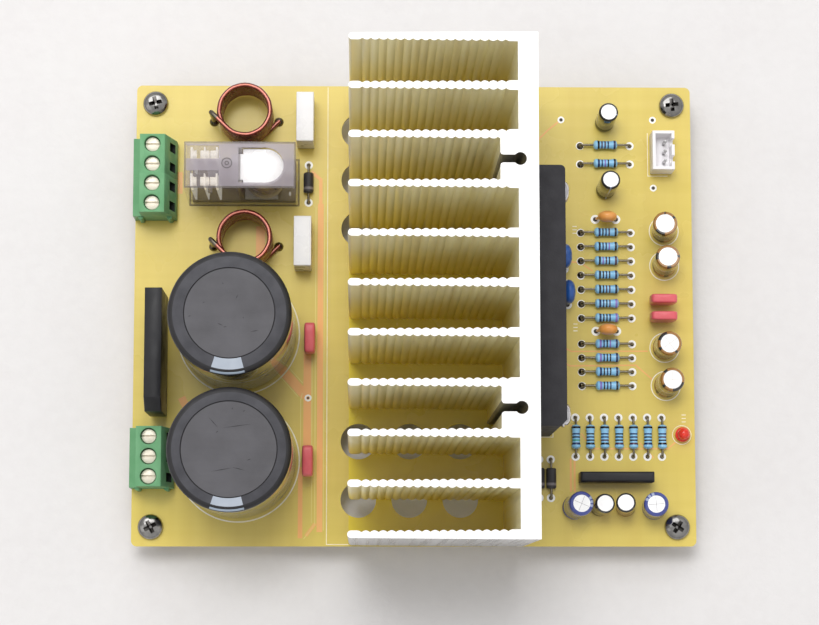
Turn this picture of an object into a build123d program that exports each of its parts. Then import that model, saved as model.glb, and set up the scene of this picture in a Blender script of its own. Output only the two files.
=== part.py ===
from build123d import *
import os
from math import radians, sin

# Audio power amplifier board. Millimetres, +Z up.
# The origin is on the table, under the middle of the board, between the standoffs' feet.
# +X is the side of the small parts, -X the side of the screw terminals.
# Heights called "above the board" start at the board's upper face.
# Parts on the -X side of the heatsink are placed from the board's left edge, those on its
# +X side from the right edge, and the heatsink fills the room between the two groups.

# Circuit board
BOARD_LENGTH = 146.0
BOARD_DEPTH = 121.0
BOARD_THICK = 1.6
BOARD_CORNER_R = 1.5
CORNER_HOLE_INSET_X = 5.0
CORNER_HOLE_INSET_Y = 5.0
SCREW_CLEARANCE = 0.25
VENT_D = 9.2
VENT_FROM_TIP = 2.5
VENT_FROM_ROOT = 11.0
VENT_PITCH_X = 13.2
VENT_ROWS_FROM_CENTRE = (48.9, 35.9, 22.9, -32.9, -48.0)

# Standoffs and the screws of M3 size
STANDOFF_HEIGHT = 10.0
STANDOFF_FLATS = 5.5
TAP_DRILL_D = 2.5
TAPPED_FROM_FOOT = 6.0
THREAD_D = 2.9
THREAD_GAP = 0.05
PAN_HEAD_D = 6.2
PAN_HEAD_H = 2.0
PAN_HEAD_BEVEL = 0.6
RECESS_WIDTH = 0.9
RECESS_LENGTH = 3.6
RECESS_DEPTH = 1.1
BOARD_SCREW_LENGTH = 5.0

# Heatsink extrusion
SINK_LENGTH = 120.0
SINK_HEIGHT = 65.0
SINK_TIP_FROM_LEFT = 56.0
SINK_FACE_FROM_RIGHT = 45.0
SINK_BASE_THICK = 4.8
FIN_COUNT = 11
FIN_ROOT_THICK = 2.3
FIN_TIP_THICK = 1.7
RIPPLE_PITCH = 2.0
RIPPLE_DEPTH = 0.35
RIPPLE_FROM_ROOT = 1.9
RIPPLE_FROM_TIP = 3.0
BOSS_DEPTH = 4.3
BOSS_SLOTS = (2, 7)
KEYHOLE_D = 3.1
KEYHOLE_NECK = 1.9
KEYHOLE_FROM_FACE = 4.4
KEYHOLE_MOUTH_R = 0.7
SINK_SCREW_LENGTH = 9.6

# Power hybrid module on the heatsink
MODULE_LENGTH = 64.0
MODULE_HEIGHT = 36.5
MODULE_THICK = 8.0
MODULE_CENTRE_Y = -0.6
MODULE_LIFT = 7.5
MODULE_PLATE_THICK = 2.0
MODULE_RIM = 1.4
MODULE_EDGE_R = 1.2
MODULE_KEY_CHAMFER = 1.5
MODULE_SCREW_INSET = 4.0
MODULE_SCREW_HEIGHT = 20.5
MODULE_PIN_COUNT = 18
MODULE_PIN_PITCH = 2.54
MODULE_PIN_WIDTH = 0.6
MODULE_PIN_THICK = 0.4
MODULE_PIN_FROM_FACE = 5.0
MODULE_SCREW_HEAD_D = 5.4
MODULE_SCREW_HEAD_H = 1.7
MODULE_SCREW_BITE = 4.2
WASHER_D = 6.4
WASHER_THICK = 0.6

# Relay
RELAY_LENGTH = 29.0
RELAY_WIDTH = 12.7
RELAY_HEIGHT = 25.5
RELAY_FROM_LEFT = 14.0
RELAY_CENTRE_Y = 34.6
RELAY_DRAFT = 0.35
RELAY_WALL = 0.6
RELAY_BASE_H = 3.0
RELAY_FIT = 0.1
COIL_AXIS_FROM_END = 8.9
COIL_PIN_FROM_END = 2.5
RELAY_CORE_D = 4.4
RELAY_POLE_D = 6.6
RELAY_POLE_H = 0.8
BOBBIN_WALL = 0.6
BOBBIN_FLANGE_D = 10.0
BOBBIN_FLANGE_H = 0.8
BOBBIN_HIGH = 19.9
WINDING_D = 9.0
YOKE_THICK = 1.2
YOKE_WIDTH = 10.2
YOKE_EAR = 1.5
YOKE_EAR_H = 1.6
YOKE_TOP = 21.3
YOKE_FROM_END = 14.9
ARMATURE_THICK = 1.0
ARMATURE_GAP = 0.3
ARMATURE_WIDTH = 9.0
ARMATURE_REACH = 11.2
ARMATURE_TAIL = 2.0
CARD_THICK = 1.0
CARD_WIDTH = 5.0
CARD_LOW = 13.0
CARD_BAR_H = 2.0
CARD_FINGER_W = 1.8
BLADE_THICK = 0.3
BLADE_WIDTH = 3.4
BLADE_TOP = 22.6
BLADE_OPEN_FROM_END = 2.1
BLADE_MOVING_FROM_END = 5.4
BLADE_CLOSED_FROM_END = 8.5
BLADE_ROW = 3.4
CONTACT_D = 2.2
CONTACT_HEIGHT = 20.8
CONTACT_THICK = 1.1
CONTACT_STUB = 0.9
CONTACT_REST_GAP = 0.3
PIN_WIDTH = 1.0
PIN_THICK = 0.5

# Screw terminal blocks
POLE_PITCH = 5.08
SPEAKER_POLES = 2
SUPPLY_POLES = 3
SPEAKER_CENTRE_Y = 34.6
SUPPLY_CENTRE_Y = -38.1
BLOCK_DEPTH = 11.0
BLOCK_HEIGHT = 14.0
BLOCK_STEP_H = 7.2
BLOCK_STEP = 2.2
BLOCK_TOP_DEPTH = 6.4
BLOCK_SLOPE_LOW = 3.7
BLOCK_WALL = 0.5
BLOCK_FRONT_WALL = 3.0
BLOCK_BACK_WALL = 0.8
ROOF_THICK = 0.8
WIRE_HOLE_W = 2.6
WIRE_HOLE_LOW = 3.5
WIRE_HOLE_TOP = 6.0
WINDOW_W = 2.3
WINDOW_LOW = 5.1
WINDOW_TOP = 9.6
CLAMP_SCREW_D = 3.6
CLAMP_SCREW_HEAD_H = 1.6
CLAMP_SCREW_SLOT = 0.6
CLAMP_SCREW_SLOT_DEPTH = 0.8
CLAMP_THREAD_D = 2.3
CLAMP_TRAVEL = 2.0
CLAMP_GAP = 0.3
CAGE_TOP_THICK = 1.4
CAGE_BAR_THICK = 1.0
CAGE_SIDE = 0.4
CAGE_DEPTH = 4.0
TONGUE_THICK = 0.6
RIB_D = 1.4
RIB_DEPTHS = (2.0, 9.4)
RIB_TOP = 6.5
RIB_GAP = 0.1

# Filter capacitors and bridge rectifier, with their centres from the left edge and in Y
CAN_D = 30.2
CAN_HEIGHT = 45.0
CAN_BEVEL = 1.2
CAN_RECESS_D = 24.2
CAN_RECESS_DEPTH = 0.5
CAN_CENTRES = ((27.25, -5.4), (27.4, -38.4))
BRIDGE_LENGTH = 31.0
BRIDGE_THICK = 4.3
BRIDGE_HEIGHT = 20.0
BRIDGE_LIFT = 2.5
BRIDGE_BEVEL = 3.2
BRIDGE_FROM_LEFT = 6.9
BRIDGE_CENTRE_Y = -11.7
BRIDGE_PIN_PITCH = 7.5
BRIDGE_PIN_COUNT = 4
BRIDGE_PIN_W = 1.1

# Output coils, with their centres from the left edge and in Y
COIL_D = 14.4
COIL_WIRE_D = 1.1
COIL_TURNS = 11
COIL_LIFT = 0.5
COIL_LEAD_REACH = 1.7
COIL_SIDES = 30
COIL_CENTRES = ((28.9, 51.6), (29.05, 18.4))

# Box and film capacitors: centres from the nearest edge and in Y, sizes along X, Y and Z
WHITE_FROM_LEFT = ((44.5, 50.2), (44.0, 17.6))
WHITE_SIZE = (4.5, 13.0, 10.8)
RED_FROM_LEFT = ((45.9, -7.2), (45.5, -38.8))
RED_LEFT_SIZE = (2.9, 8.0, 8.5)
RED_FROM_RIGHT = ((8.5, 3.2), (8.5, -1.3))
RED_RIGHT_SIZE = (6.9, 2.4, 8.5)
FILM_LIFT = 0.4
FILM_EDGE = 0.6

# Small electrolytic capacitors, hand-set and a little askew: the centre of each foot from the
# right edge and in Y, then how far it leans and towards which side, in degrees from +X
BLACK_CANS = ((22.8, 50.8, 4.0, 82.0), (22.7, 32.8, 5.5, 69.0))
GOLD_CANS = (
    (7.4, 22.0, 5.5, 162.0),
    (7.4, 12.8, 5.0, 114.0),
    (7.6, -8.8, 0.0, 0.0),
    (7.4, -18.8, 4.0, 59.0),
)
BROWN_CANS = ((25.1, -50.3, 3.5, 45.0), (18.3, -50.4, 7.0, 145.0))
BLUE_CANS = ((31.7, -50.5, 6.5, 32.0), (10.9, -50.5, 4.5, 146.0))
SMALL_CAN_D = 5.0
LARGE_CAN_D = 6.3
SMALL_CAN_H = 11.0
SMALL_CAN_EDGE = 0.5

# Resistors and diodes
RESISTOR_D = 2.4
RESISTOR_LENGTH = 6.3
RESISTOR_SPAN = 13.2
RESISTOR_SPAN_SHORT = 10.2
RESISTOR_FROM_RIGHT = 22.7
RESISTOR_FLOAT = 0.3
RESISTOR_SIDES = 8
ROWS_FIRST_Y = (44.7, 21.5, -7.9)
ROWS_PITCH = (4.9, 3.77, 3.66)
ROWS_COUNT = (2, 7, 4)
COLUMN_FROM_RIGHT = 31.1
COLUMN_PITCH = 3.74
COLUMN_COUNT = 7
COLUMN_Y = -32.2
DIODE_D = 2.6
DIODE_LENGTH = 5.3
DIODE_SPAN = 10.0
DIODE_FROM_LEFT = (45.3, 34.3)
DIODES_FROM_RIGHT = ((37.6, -43.0), (40.6, -43.0))
LEAD_SIZE = 0.6

# Disc capacitors, single-row circuit, lamp and signal connector, placed from the right edge
ORANGE_DISC_D = 5.4
ORANGE_DISC_THICK = 2.6
BLUE_DISC_D = 6.4
BLUE_DISC_THICK = 3.4
DISC_SIDES = 20
DISC_LIFT = 1.8
DISC_EDGE = 0.8
ORANGE_DISCS = ((22.7, 25.1), (22.8, -4.5))
BLUE_DISCS = ((33.7, 14.6), (32.9, 5.2))
DISC_LEAD_PITCH = 5.0
DISC_LEG_RUN = 1.5
ROW_CHIP_LENGTH = 19.0
ROW_CHIP_THICK = 2.7
ROW_CHIP_HEIGHT = 6.6
ROW_CHIP_LIFT = 1.4
ROW_CHIP_FROM_RIGHT = 21.05
ROW_CHIP_Y = -42.9
ROW_CHIP_PINS = 8
ROW_CHIP_PITCH = 2.54
LAMP_FROM_RIGHT = 3.4
LAMP_Y = -31.6
LAMP_D = 3.0
LAMP_FLANGE_D = 3.8
LAMP_FLANGE_H = 1.0
LAMP_HEIGHT = 5.2
LAMP_LIFT = 1.0
SOCKET_FROM_RIGHT = 8.0
SOCKET_Y = 42.4
SOCKET_LENGTH = 10.3
SOCKET_WIDTH = 5.75
SOCKET_HEIGHT = 7.0
SOCKET_WALL = 0.8
SOCKET_FLOOR = 1.6
SOCKET_PITCH = 2.5
SOCKET_PINS = 3
SOCKET_PIN_SIZE = 0.64
SOCKET_PIN_TOP = 6.0
SOCKET_PIN_SHIFT = 0.6
SOCKET_NOTCH_W = 1.6
SOCKET_NOTCH_FROM_MIDDLE = 2.25

BOARD_TOP = STANDOFF_HEIGHT + BOARD_THICK
CORNER_X = BOARD_LENGTH / 2 - CORNER_HOLE_INSET_X
CORNER_Y = BOARD_DEPTH / 2 - CORNER_HOLE_INSET_Y
CORNERS = [(sx * CORNER_X, sy * CORNER_Y) for sx in (-1, 1) for sy in (-1, 1)]
SINK_CENTRE_Y = (SINK_LENGTH - BOARD_DEPTH) / 2
LEFT_EDGE = -BOARD_LENGTH / 2
RIGHT_EDGE = BOARD_LENGTH / 2
SINK_TIP_X = LEFT_EDGE + SINK_TIP_FROM_LEFT
SINK_FACE_X = RIGHT_EDGE - SINK_FACE_FROM_RIGHT
SINK_INNER_X = SINK_FACE_X - SINK_BASE_THICK
FIN_LENGTH = SINK_INNER_X - SINK_TIP_X
VENT_COLUMNS = int((FIN_LENGTH - VENT_FROM_TIP - VENT_FROM_ROOT) / VENT_PITCH_X) + 1
FIN_PITCH = (SINK_LENGTH - FIN_ROOT_THICK) / (FIN_COUNT - 1)
KEYHOLE_X = SINK_FACE_X - KEYHOLE_FROM_FACE
MODULE_SCREW_PITCH = MODULE_LENGTH - 2 * MODULE_SCREW_INSET
RELAY_X = LEFT_EDGE + RELAY_FROM_LEFT
BRIDGE_X = LEFT_EDGE + BRIDGE_FROM_LEFT
RESISTOR_X = RIGHT_EDGE - RESISTOR_FROM_RIGHT
ROW_CHIP_X = RIGHT_EDGE - ROW_CHIP_FROM_RIGHT
LAMP_X = RIGHT_EDGE - LAMP_FROM_RIGHT
SOCKET_X = RIGHT_EDGE - SOCKET_FROM_RIGHT
BOBBIN_LOW = RELAY_BASE_H + YOKE_THICK
CAGE_PLATE_LOW = WIRE_HOLE_TOP + TONGUE_THICK + CLAMP_GAP / 2
CHAMBER_TOP = CAGE_PLATE_LOW + CAGE_TOP_THICK + CLAMP_TRAVEL + CLAMP_GAP
OVERLAP = 0.5


def block(x0, x1, y0, y1, z0, z1):
    """A box between two corners."""
    centre = Pos((x0 + x1) / 2, (y0 + y1) / 2, (z0 + z1) / 2)
    return centre * Box(x1 - x0, y1 - y0, z1 - z0)


def rod(x, y, z0, z1, diameter):
    """An upright cylinder between two heights."""
    return Pos(x, y, (z0 + z1) / 2) * Cylinder(diameter / 2, z1 - z0)


def rod_along_x(x0, x1, y, z, diameter):
    """A cylinder that lies along X."""
    return Pos((x0 + x1) / 2, y, z) * Rot(0, 90, 0) * Cylinder(diameter / 2, x1 - x0)


def slab_xz(points, y0, y1):
    """A closed outline in the XZ plane, drawn out along Y from y0 to y1."""
    face = make_face(Polyline(*points, close=True))
    upright = Plane(origin=(0, y0, 0), x_dir=(1, 0, 0), z_dir=(0, -1, 0))
    return extrude(upright * face, amount=-(y1 - y0))


def slab_yz(points, x0, x1):
    """A closed outline in the YZ plane, drawn out along X from x0 to x1."""
    face = make_face(Polyline(*points, close=True))
    upright = Plane(origin=(x0, 0, 0), x_dir=(0, 1, 0), z_dir=(1, 0, 0))
    return extrude(upright * face, amount=x1 - x0)


def group(shapes):
    """Separate solids kept together in one node."""
    return Compound(children=list(shapes))


def sink_screw_points():
    """Centres of the two screws that come up into the heatsink's keyholes."""
    return [(KEYHOLE_X, slot_centre(index)) for index in BOSS_SLOTS]


def fin_centre(index):
    """Y of one fin's middle plane, counted from the +Y end."""
    first = SINK_CENTRE_Y + SINK_LENGTH / 2 - FIN_ROOT_THICK / 2
    return first - index * FIN_PITCH


def slot_centre(index):
    """Y of the middle of the slot after fin number index."""
    return fin_centre(index) - FIN_PITCH / 2


def circuit_board():
    """The laminate with its corner holes, vent holes and heatsink screw holes."""
    outline = RectangleRounded(BOARD_LENGTH, BOARD_DEPTH, BOARD_CORNER_R)
    board = Pos(0, 0, STANDOFF_HEIGHT) * extrude(outline, amount=BOARD_THICK)
    hole_d = THREAD_D + 2 * SCREW_CLEARANCE
    for x, y in CORNERS + sink_screw_points():
        board -= rod(x, y, STANDOFF_HEIGHT, BOARD_TOP, hole_d)
    for column in range(VENT_COLUMNS):
        x = SINK_TIP_X + VENT_FROM_TIP + column * VENT_PITCH_X
        for row in VENT_ROWS_FROM_CENTRE:
            board -= rod(x, SINK_CENTRE_Y + row, STANDOFF_HEIGHT, BOARD_TOP, VENT_D)
    return board


def standoffs():
    """Four hex pillars: a tapped bore up from the foot, then a wider one round the board's screw."""
    pillar = extrude(RegularPolygon(STANDOFF_FLATS / 2, 6, major_radius=False), amount=STANDOFF_HEIGHT)
    pillar -= rod(0, 0, 0, TAPPED_FROM_FOOT, TAP_DRILL_D)
    pillar -= rod(0, 0, TAPPED_FROM_FOOT, STANDOFF_HEIGHT, THREAD_D + 2 * THREAD_GAP)
    return group([Pos(x, y, 0) * pillar for x, y in CORNERS])


def pan_head_screw(head_d, head_h, length):
    """A screw that points down, with the underside of its head at z = 0."""
    screw = bevelled_head(head_d, head_h) + rod(0, 0, -length, 0, THREAD_D)
    for turn in (0, 90):
        recess = Box(RECESS_LENGTH, RECESS_WIDTH, RECESS_DEPTH)
        screw -= Pos(0, 0, head_h - RECESS_DEPTH / 2) * Rot(0, 0, turn) * recess
    return screw


def bevelled_head(head_d, head_h):
    """A round screw head with its upper edge bevelled."""
    head = rod(0, 0, 0, head_h, head_d)
    top_edge = head.edges().sort_by(Axis.Z)[-1]
    return chamfer(top_edge, min(PAN_HEAD_BEVEL, head_h / 3))


def board_screws():
    """Four pan-head screws from above into the standoffs."""
    screw = pan_head_screw(PAN_HEAD_D, PAN_HEAD_H, BOARD_SCREW_LENGTH)
    return group([Pos(x, y, BOARD_TOP) * screw for x, y in CORNERS])


def heatsink_screws():
    """Two screws from below, through the board, into the heatsink's keyholes."""
    screw = Rot(180, 0, 0) * pan_head_screw(PAN_HEAD_D, PAN_HEAD_H, SINK_SCREW_LENGTH)
    return group([Pos(x, y, STANDOFF_HEIGHT) * screw for x, y in sink_screw_points()])


def fin_side(side, rippled):
    """Points of one flank of a fin, from its root to its tip, as (x, half thickness)."""
    root, tip = FIN_ROOT_THICK / 2, FIN_TIP_THICK / 2

    def half(distance):
        return root + (tip - root) * distance / FIN_LENGTH

    points = [(-OVERLAP, root), (0.0, root)]
    if rippled:
        room = FIN_LENGTH - RIPPLE_FROM_ROOT - RIPPLE_FROM_TIP
        for ripple in range(int(room / RIPPLE_PITCH)):
            start = RIPPLE_FROM_ROOT + ripple * RIPPLE_PITCH
            points.append((start, half(start)))
            middle = start + RIPPLE_PITCH / 2
            points.append((middle, half(middle) - RIPPLE_DEPTH))
        end = start + RIPPLE_PITCH
        points.append((end, half(end)))
    points.append((FIN_LENGTH - tip, tip))
    return [(SINK_INNER_X - distance, side * width) for distance, width in points]


def fin_face(index):
    """The outline of one fin; the outer flanks of the first and last fin are smooth."""
    upper = fin_side(1, rippled=index > 0)
    lower = fin_side(-1, rippled=index < FIN_COUNT - 1)
    tip = ThreePointArc(upper[-1], (SINK_TIP_X, 0), lower[-1])
    root = Line(lower[0], upper[0])
    return Pos(0, fin_centre(index)) * make_face([Polyline(*upper), tip, Polyline(*lower), root])


def boss_face(index):
    """A filled slot root with the keyhole that the fixing screw cuts its thread in."""
    y = slot_centre(index)
    width = FIN_PITCH - FIN_ROOT_THICK + OVERLAP
    mouth_x = SINK_INNER_X - BOSS_DEPTH
    length = BOSS_DEPTH + OVERLAP
    return Pos(mouth_x + length / 2, y) * Rectangle(length, width)


def keyhole_face(index):
    """The round screw channel and the neck that opens it to the slot."""
    y = slot_centre(index)
    mouth_x = SINK_INNER_X - BOSS_DEPTH
    length = KEYHOLE_X - mouth_x
    neck = Pos(mouth_x + length / 2, y) * Rectangle(length, KEYHOLE_NECK)
    return Pos(KEYHOLE_X, y) * Circle(KEYHOLE_D / 2) + neck


def heatsink():
    """The extrusion, cut to length, with two tapped holes for the module's screws."""
    base_x = SINK_FACE_X - SINK_BASE_THICK / 2
    profile = Pos(base_x, SINK_CENTRE_Y) * Rectangle(SINK_BASE_THICK, SINK_LENGTH)
    profile += [fin_face(index) for index in range(FIN_COUNT)]
    profile += [boss_face(index) for index in BOSS_SLOTS]
    profile -= [keyhole_face(index) for index in BOSS_SLOTS]
    body = Pos(0, 0, BOARD_TOP) * extrude(profile, amount=SINK_HEIGHT)
    mouth_x = SINK_INNER_X - BOSS_DEPTH
    mouth = [
        edge
        for edge in body.edges().filter_by(Axis.Z)
        if abs(edge.center().X - mouth_x) < 0.01
        and any(
            abs(abs(edge.center().Y - slot_centre(index)) - KEYHOLE_NECK / 2) < 0.01
            for index in BOSS_SLOTS
        )
    ]
    body = fillet(mouth, KEYHOLE_MOUTH_R)
    for y, z in module_screw_points():
        start = SINK_FACE_X - MODULE_SCREW_BITE
        body -= rod_along_x(start, SINK_FACE_X, y, z, THREAD_D + 2 * THREAD_GAP)
    return body


def module_screw_points():
    """Y and Z of the two screws that hold the module."""
    z = BOARD_TOP + MODULE_LIFT + MODULE_SCREW_HEIGHT
    return [(MODULE_CENTRE_Y + side * MODULE_SCREW_PITCH / 2, z) for side in (1, -1)]


def module_case():
    """The moulded case, hollowed at the back for the module's metal plate."""
    y0 = MODULE_CENTRE_Y - MODULE_LENGTH / 2
    y1 = MODULE_CENTRE_Y + MODULE_LENGTH / 2
    z0 = BOARD_TOP + MODULE_LIFT
    front = SINK_FACE_X + MODULE_THICK
    case = block(SINK_FACE_X, front, y0, y1, z0, z0 + MODULE_HEIGHT)
    corners = case.edges().filter_by(Axis.Z).group_by(Axis.X)[-1].sort_by(Axis.Y)
    case = fillet(corners[-1], MODULE_EDGE_R)
    corners = case.edges().filter_by(Axis.Z).group_by(Axis.X)[-1].sort_by(Axis.Y)
    case = chamfer(corners[0], MODULE_KEY_CHAMFER)
    case -= module_plate_blank()
    for y, z in module_screw_points():
        case -= rod_along_x(SINK_FACE_X, front, y, z, THREAD_D + 2 * SCREW_CLEARANCE)
    for y in module_pin_rows():
        case -= module_pin(y)
    return case


def module_plate_blank():
    """The metal plate before its holes, set into the back of the case."""
    y0 = MODULE_CENTRE_Y - MODULE_LENGTH / 2 + MODULE_RIM
    y1 = MODULE_CENTRE_Y + MODULE_LENGTH / 2 - MODULE_RIM
    z0 = BOARD_TOP + MODULE_LIFT + MODULE_RIM
    z1 = BOARD_TOP + MODULE_LIFT + MODULE_HEIGHT - MODULE_RIM
    return block(SINK_FACE_X, SINK_FACE_X + MODULE_PLATE_THICK, y0, y1, z0, z1)


def module_plate():
    """The aluminium plate that passes the module's heat to the heatsink."""
    plate = module_plate_blank()
    for y, z in module_screw_points():
        end = SINK_FACE_X + MODULE_PLATE_THICK
        plate -= rod_along_x(SINK_FACE_X, end, y, z, THREAD_D + 2 * SCREW_CLEARANCE)
    return plate


def module_pin_rows():
    """Y of each of the module's pins."""
    first = MODULE_CENTRE_Y - (MODULE_PIN_COUNT - 1) * MODULE_PIN_PITCH / 2
    return [first + index * MODULE_PIN_PITCH for index in range(MODULE_PIN_COUNT)]


def module_pin(y):
    """One flat pin, from the board up into the case."""
    x = SINK_FACE_X + MODULE_PIN_FROM_FACE
    half_x, half_y = MODULE_PIN_THICK / 2, MODULE_PIN_WIDTH / 2
    top = BOARD_TOP + MODULE_LIFT + MODULE_RIM
    return block(x - half_x, x + half_x, y - half_y, y + half_y, BOARD_TOP, top)


def module_pins():
    """The single row of pins under the module."""
    return group([module_pin(y) for y in module_pin_rows()])


def module_screws():
    """Two pan-head screws through the washers and the module into the heatsink."""
    reach = WASHER_THICK + MODULE_THICK + MODULE_SCREW_BITE - THREAD_GAP
    screw = Rot(0, 90, 0) * pan_head_screw(MODULE_SCREW_HEAD_D, MODULE_SCREW_HEAD_H, reach)
    x = SINK_FACE_X + MODULE_THICK + WASHER_THICK
    return group([Pos(x, y, z) * screw for y, z in module_screw_points()])


def module_washers():
    """The washers under the module's screws."""
    x0 = SINK_FACE_X + MODULE_THICK
    x1 = x0 + WASHER_THICK
    hole_d = THREAD_D + 2 * SCREW_CLEARANCE
    washers = []
    for y, z in module_screw_points():
        washers.append(rod_along_x(x0, x1, y, z, WASHER_D) - rod_along_x(x0, x1, y, z, hole_d))
    return group(washers)


def relay_hull(inset, top_z, low_z=0.0):
    """The relay cover's drafted shape, drawn in by an even inset."""
    layers = []
    for height, draft in ((low_z, 0.0), (top_z, RELAY_DRAFT)):
        length = RELAY_LENGTH - 2 * (inset + draft)
        width = RELAY_WIDTH - 2 * (inset + draft)
        place = Pos(RELAY_X + RELAY_LENGTH / 2, RELAY_CENTRE_Y, BOARD_TOP + height)
        layers.append(place * Rectangle(length, width))
    return loft(layers)


def relay_cover():
    """The clear cover, open below, that drops over the base."""
    inside = relay_hull(RELAY_WALL, RELAY_HEIGHT - RELAY_WALL)
    return relay_hull(0.0, RELAY_HEIGHT) - inside


def relay_x(from_end):
    """X of a relay feature given its distance from the contact end."""
    return RELAY_X + from_end


def relay_pin_places():
    """X, Y and width along Y of every pin that goes through the relay's base."""
    blades = (BLADE_OPEN_FROM_END, BLADE_MOVING_FROM_END, BLADE_CLOSED_FROM_END)
    places = [(relay_x(end), RELAY_CENTRE_Y + side * BLADE_ROW) for end in blades for side in (1, -1)]
    coil_x = RELAY_X + RELAY_LENGTH - COIL_PIN_FROM_END
    places += [(coil_x, RELAY_CENTRE_Y + side * BLADE_ROW) for side in (1, -1)]
    return places


def relay_pin(x, y, top):
    """One flat pin, from the board up to a height above the board."""
    half_x, half_y = PIN_THICK / 2, PIN_WIDTH / 2
    return block(x - half_x, x + half_x, y - half_y, y + half_y, BOARD_TOP, BOARD_TOP + top)


def relay_base():
    """The moulded base that carries the yoke and the contact pins."""
    inset = RELAY_WALL + RELAY_FIT + RELAY_DRAFT
    x0, x1 = RELAY_X + inset, RELAY_X + RELAY_LENGTH - inset
    half_y = RELAY_WIDTH / 2 - inset
    y0, y1 = RELAY_CENTRE_Y - half_y, RELAY_CENTRE_Y + half_y
    base = block(x0, x1, y0, y1, BOARD_TOP, BOARD_TOP + RELAY_BASE_H)
    for x, y in relay_pin_places():
        base -= relay_pin(x, y, RELAY_BASE_H)
    return base


def coil_axis_x():
    """X of the relay coil's upright axis."""
    return RELAY_X + RELAY_LENGTH - COIL_AXIS_FROM_END


def relay_bobbin():
    """The bobbin: a tube on the core with a flange at each end."""
    x, y = coil_axis_x(), RELAY_CENTRE_Y
    low, high = BOARD_TOP + BOBBIN_LOW, BOARD_TOP + BOBBIN_HIGH
    tube_d = RELAY_CORE_D + 2 * RELAY_FIT
    bobbin = rod(x, y, low, high, tube_d + 2 * BOBBIN_WALL)
    bobbin += rod(x, y, low, low + BOBBIN_FLANGE_H, BOBBIN_FLANGE_D)
    bobbin += rod(x, y, high - BOBBIN_FLANGE_H, high, BOBBIN_FLANGE_D)
    return bobbin - rod(x, y, low, high, tube_d)


def relay_winding():
    """The coil of fine wire between the bobbin's flanges."""
    x, y = coil_axis_x(), RELAY_CENTRE_Y
    low = BOARD_TOP + BOBBIN_LOW + BOBBIN_FLANGE_H
    high = BOARD_TOP + BOBBIN_HIGH - BOBBIN_FLANGE_H
    inner_d = RELAY_CORE_D + 2 * (RELAY_FIT + BOBBIN_WALL)
    return rod(x, y, low, high, WINDING_D) - rod(x, y, low, high, inner_d)


def yoke_leg_x():
    """X of the yoke leg's face on the contact side."""
    return relay_x(YOKE_FROM_END) - YOKE_THICK


def relay_yoke():
    """The bent iron yoke with its ears, and the core riveted to its foot."""
    x, y = coil_axis_x(), RELAY_CENTRE_Y
    half = YOKE_WIDTH / 2
    foot_low = BOARD_TOP + RELAY_BASE_H
    foot_high = foot_low + YOKE_THICK
    leg_x = yoke_leg_x()
    top = BOARD_TOP + YOKE_TOP
    yoke = block(leg_x, leg_x + YOKE_THICK, y - half, y + half, foot_low, top)
    yoke += block(leg_x, x + RELAY_POLE_D / 2, y - half, y + half, foot_low, foot_high)
    for side in (1, -1):
        outer, inner = y + side * half, y + side * (half - YOKE_EAR)
        low_y, high_y = min(outer, inner), max(outer, inner)
        yoke += block(leg_x, leg_x + YOKE_THICK, low_y, high_y, top - OVERLAP, top + YOKE_EAR_H)
    pole_top = BOARD_TOP + BOBBIN_HIGH + RELAY_POLE_H
    yoke += rod(x, y, foot_low, pole_top, RELAY_CORE_D)
    return yoke + rod(x, y, pole_top - RELAY_POLE_H, pole_top, RELAY_POLE_D)


def armature_pivot():
    """X and Z of the yoke edge that the armature rocks on."""
    return yoke_leg_x() + YOKE_THICK / 2, BOARD_TOP + YOKE_TOP + ARMATURE_GAP


def relay_armature():
    """The rocking plate, round at its free end and notched to sit between the ears."""
    pivot_x, low = armature_pivot()
    y, half = RELAY_CENTRE_Y, ARMATURE_WIDTH / 2
    neck = YOKE_WIDTH / 2 - YOKE_EAR - ARMATURE_GAP
    shoulder = yoke_leg_x() + YOKE_THICK + ARMATURE_GAP
    free = pivot_x + ARMATURE_REACH
    bend = free - half
    tail = pivot_x - ARMATURE_TAIL
    outline = [
        Polyline((bend, y + half), (shoulder, y + half), (shoulder, y + neck), (tail, y + neck)),
        Line((tail, y + neck), (tail, y - neck)),
        Polyline((tail, y - neck), (shoulder, y - neck), (shoulder, y - half), (bend, y - half)),
        ThreePointArc((bend, y - half), (free, y), (bend, y + half)),
    ]
    return Pos(0, 0, low) * extrude(make_face(outline), amount=ARMATURE_THICK)


def relay_card():
    """The moulded card under the armature's tail, with the T-bar that pushes the springs."""
    pivot_x, low = armature_pivot()
    y = RELAY_CENTRE_Y
    right = pivot_x - ARMATURE_TAIL + CARD_THICK
    left = right - CARD_THICK
    foot = BOARD_TOP + CARD_LOW
    half = CARD_WIDTH / 2
    bar_face = relay_x(BLADE_MOVING_FROM_END) + BLADE_THICK / 2 + CONTACT_REST_GAP
    card = block(left, right, y - half, y + half, foot, low)
    finger = CARD_FINGER_W / 2
    card += block(bar_face, left, y - finger, y + finger, foot, foot + CARD_BAR_H)
    bar = BLADE_ROW + BLADE_WIDTH / 2
    card += block(bar_face, bar_face + CARD_THICK, y - bar, y + bar, foot, foot + CARD_BAR_H)
    return card


def spring_blade(x, y, low, thick):
    """One upright contact blade."""
    half_x, half_y = thick / 2, BLADE_WIDTH / 2
    top = BOARD_TOP + BLADE_TOP
    return block(x - half_x, x + half_x, y - half_y, y + half_y, low, top)


def contact_tip(x0, x1, y):
    """A round contact between two planes across X."""
    return rod_along_x(x0, x1, y, BOARD_TOP + CONTACT_HEIGHT, CONTACT_D)


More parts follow.
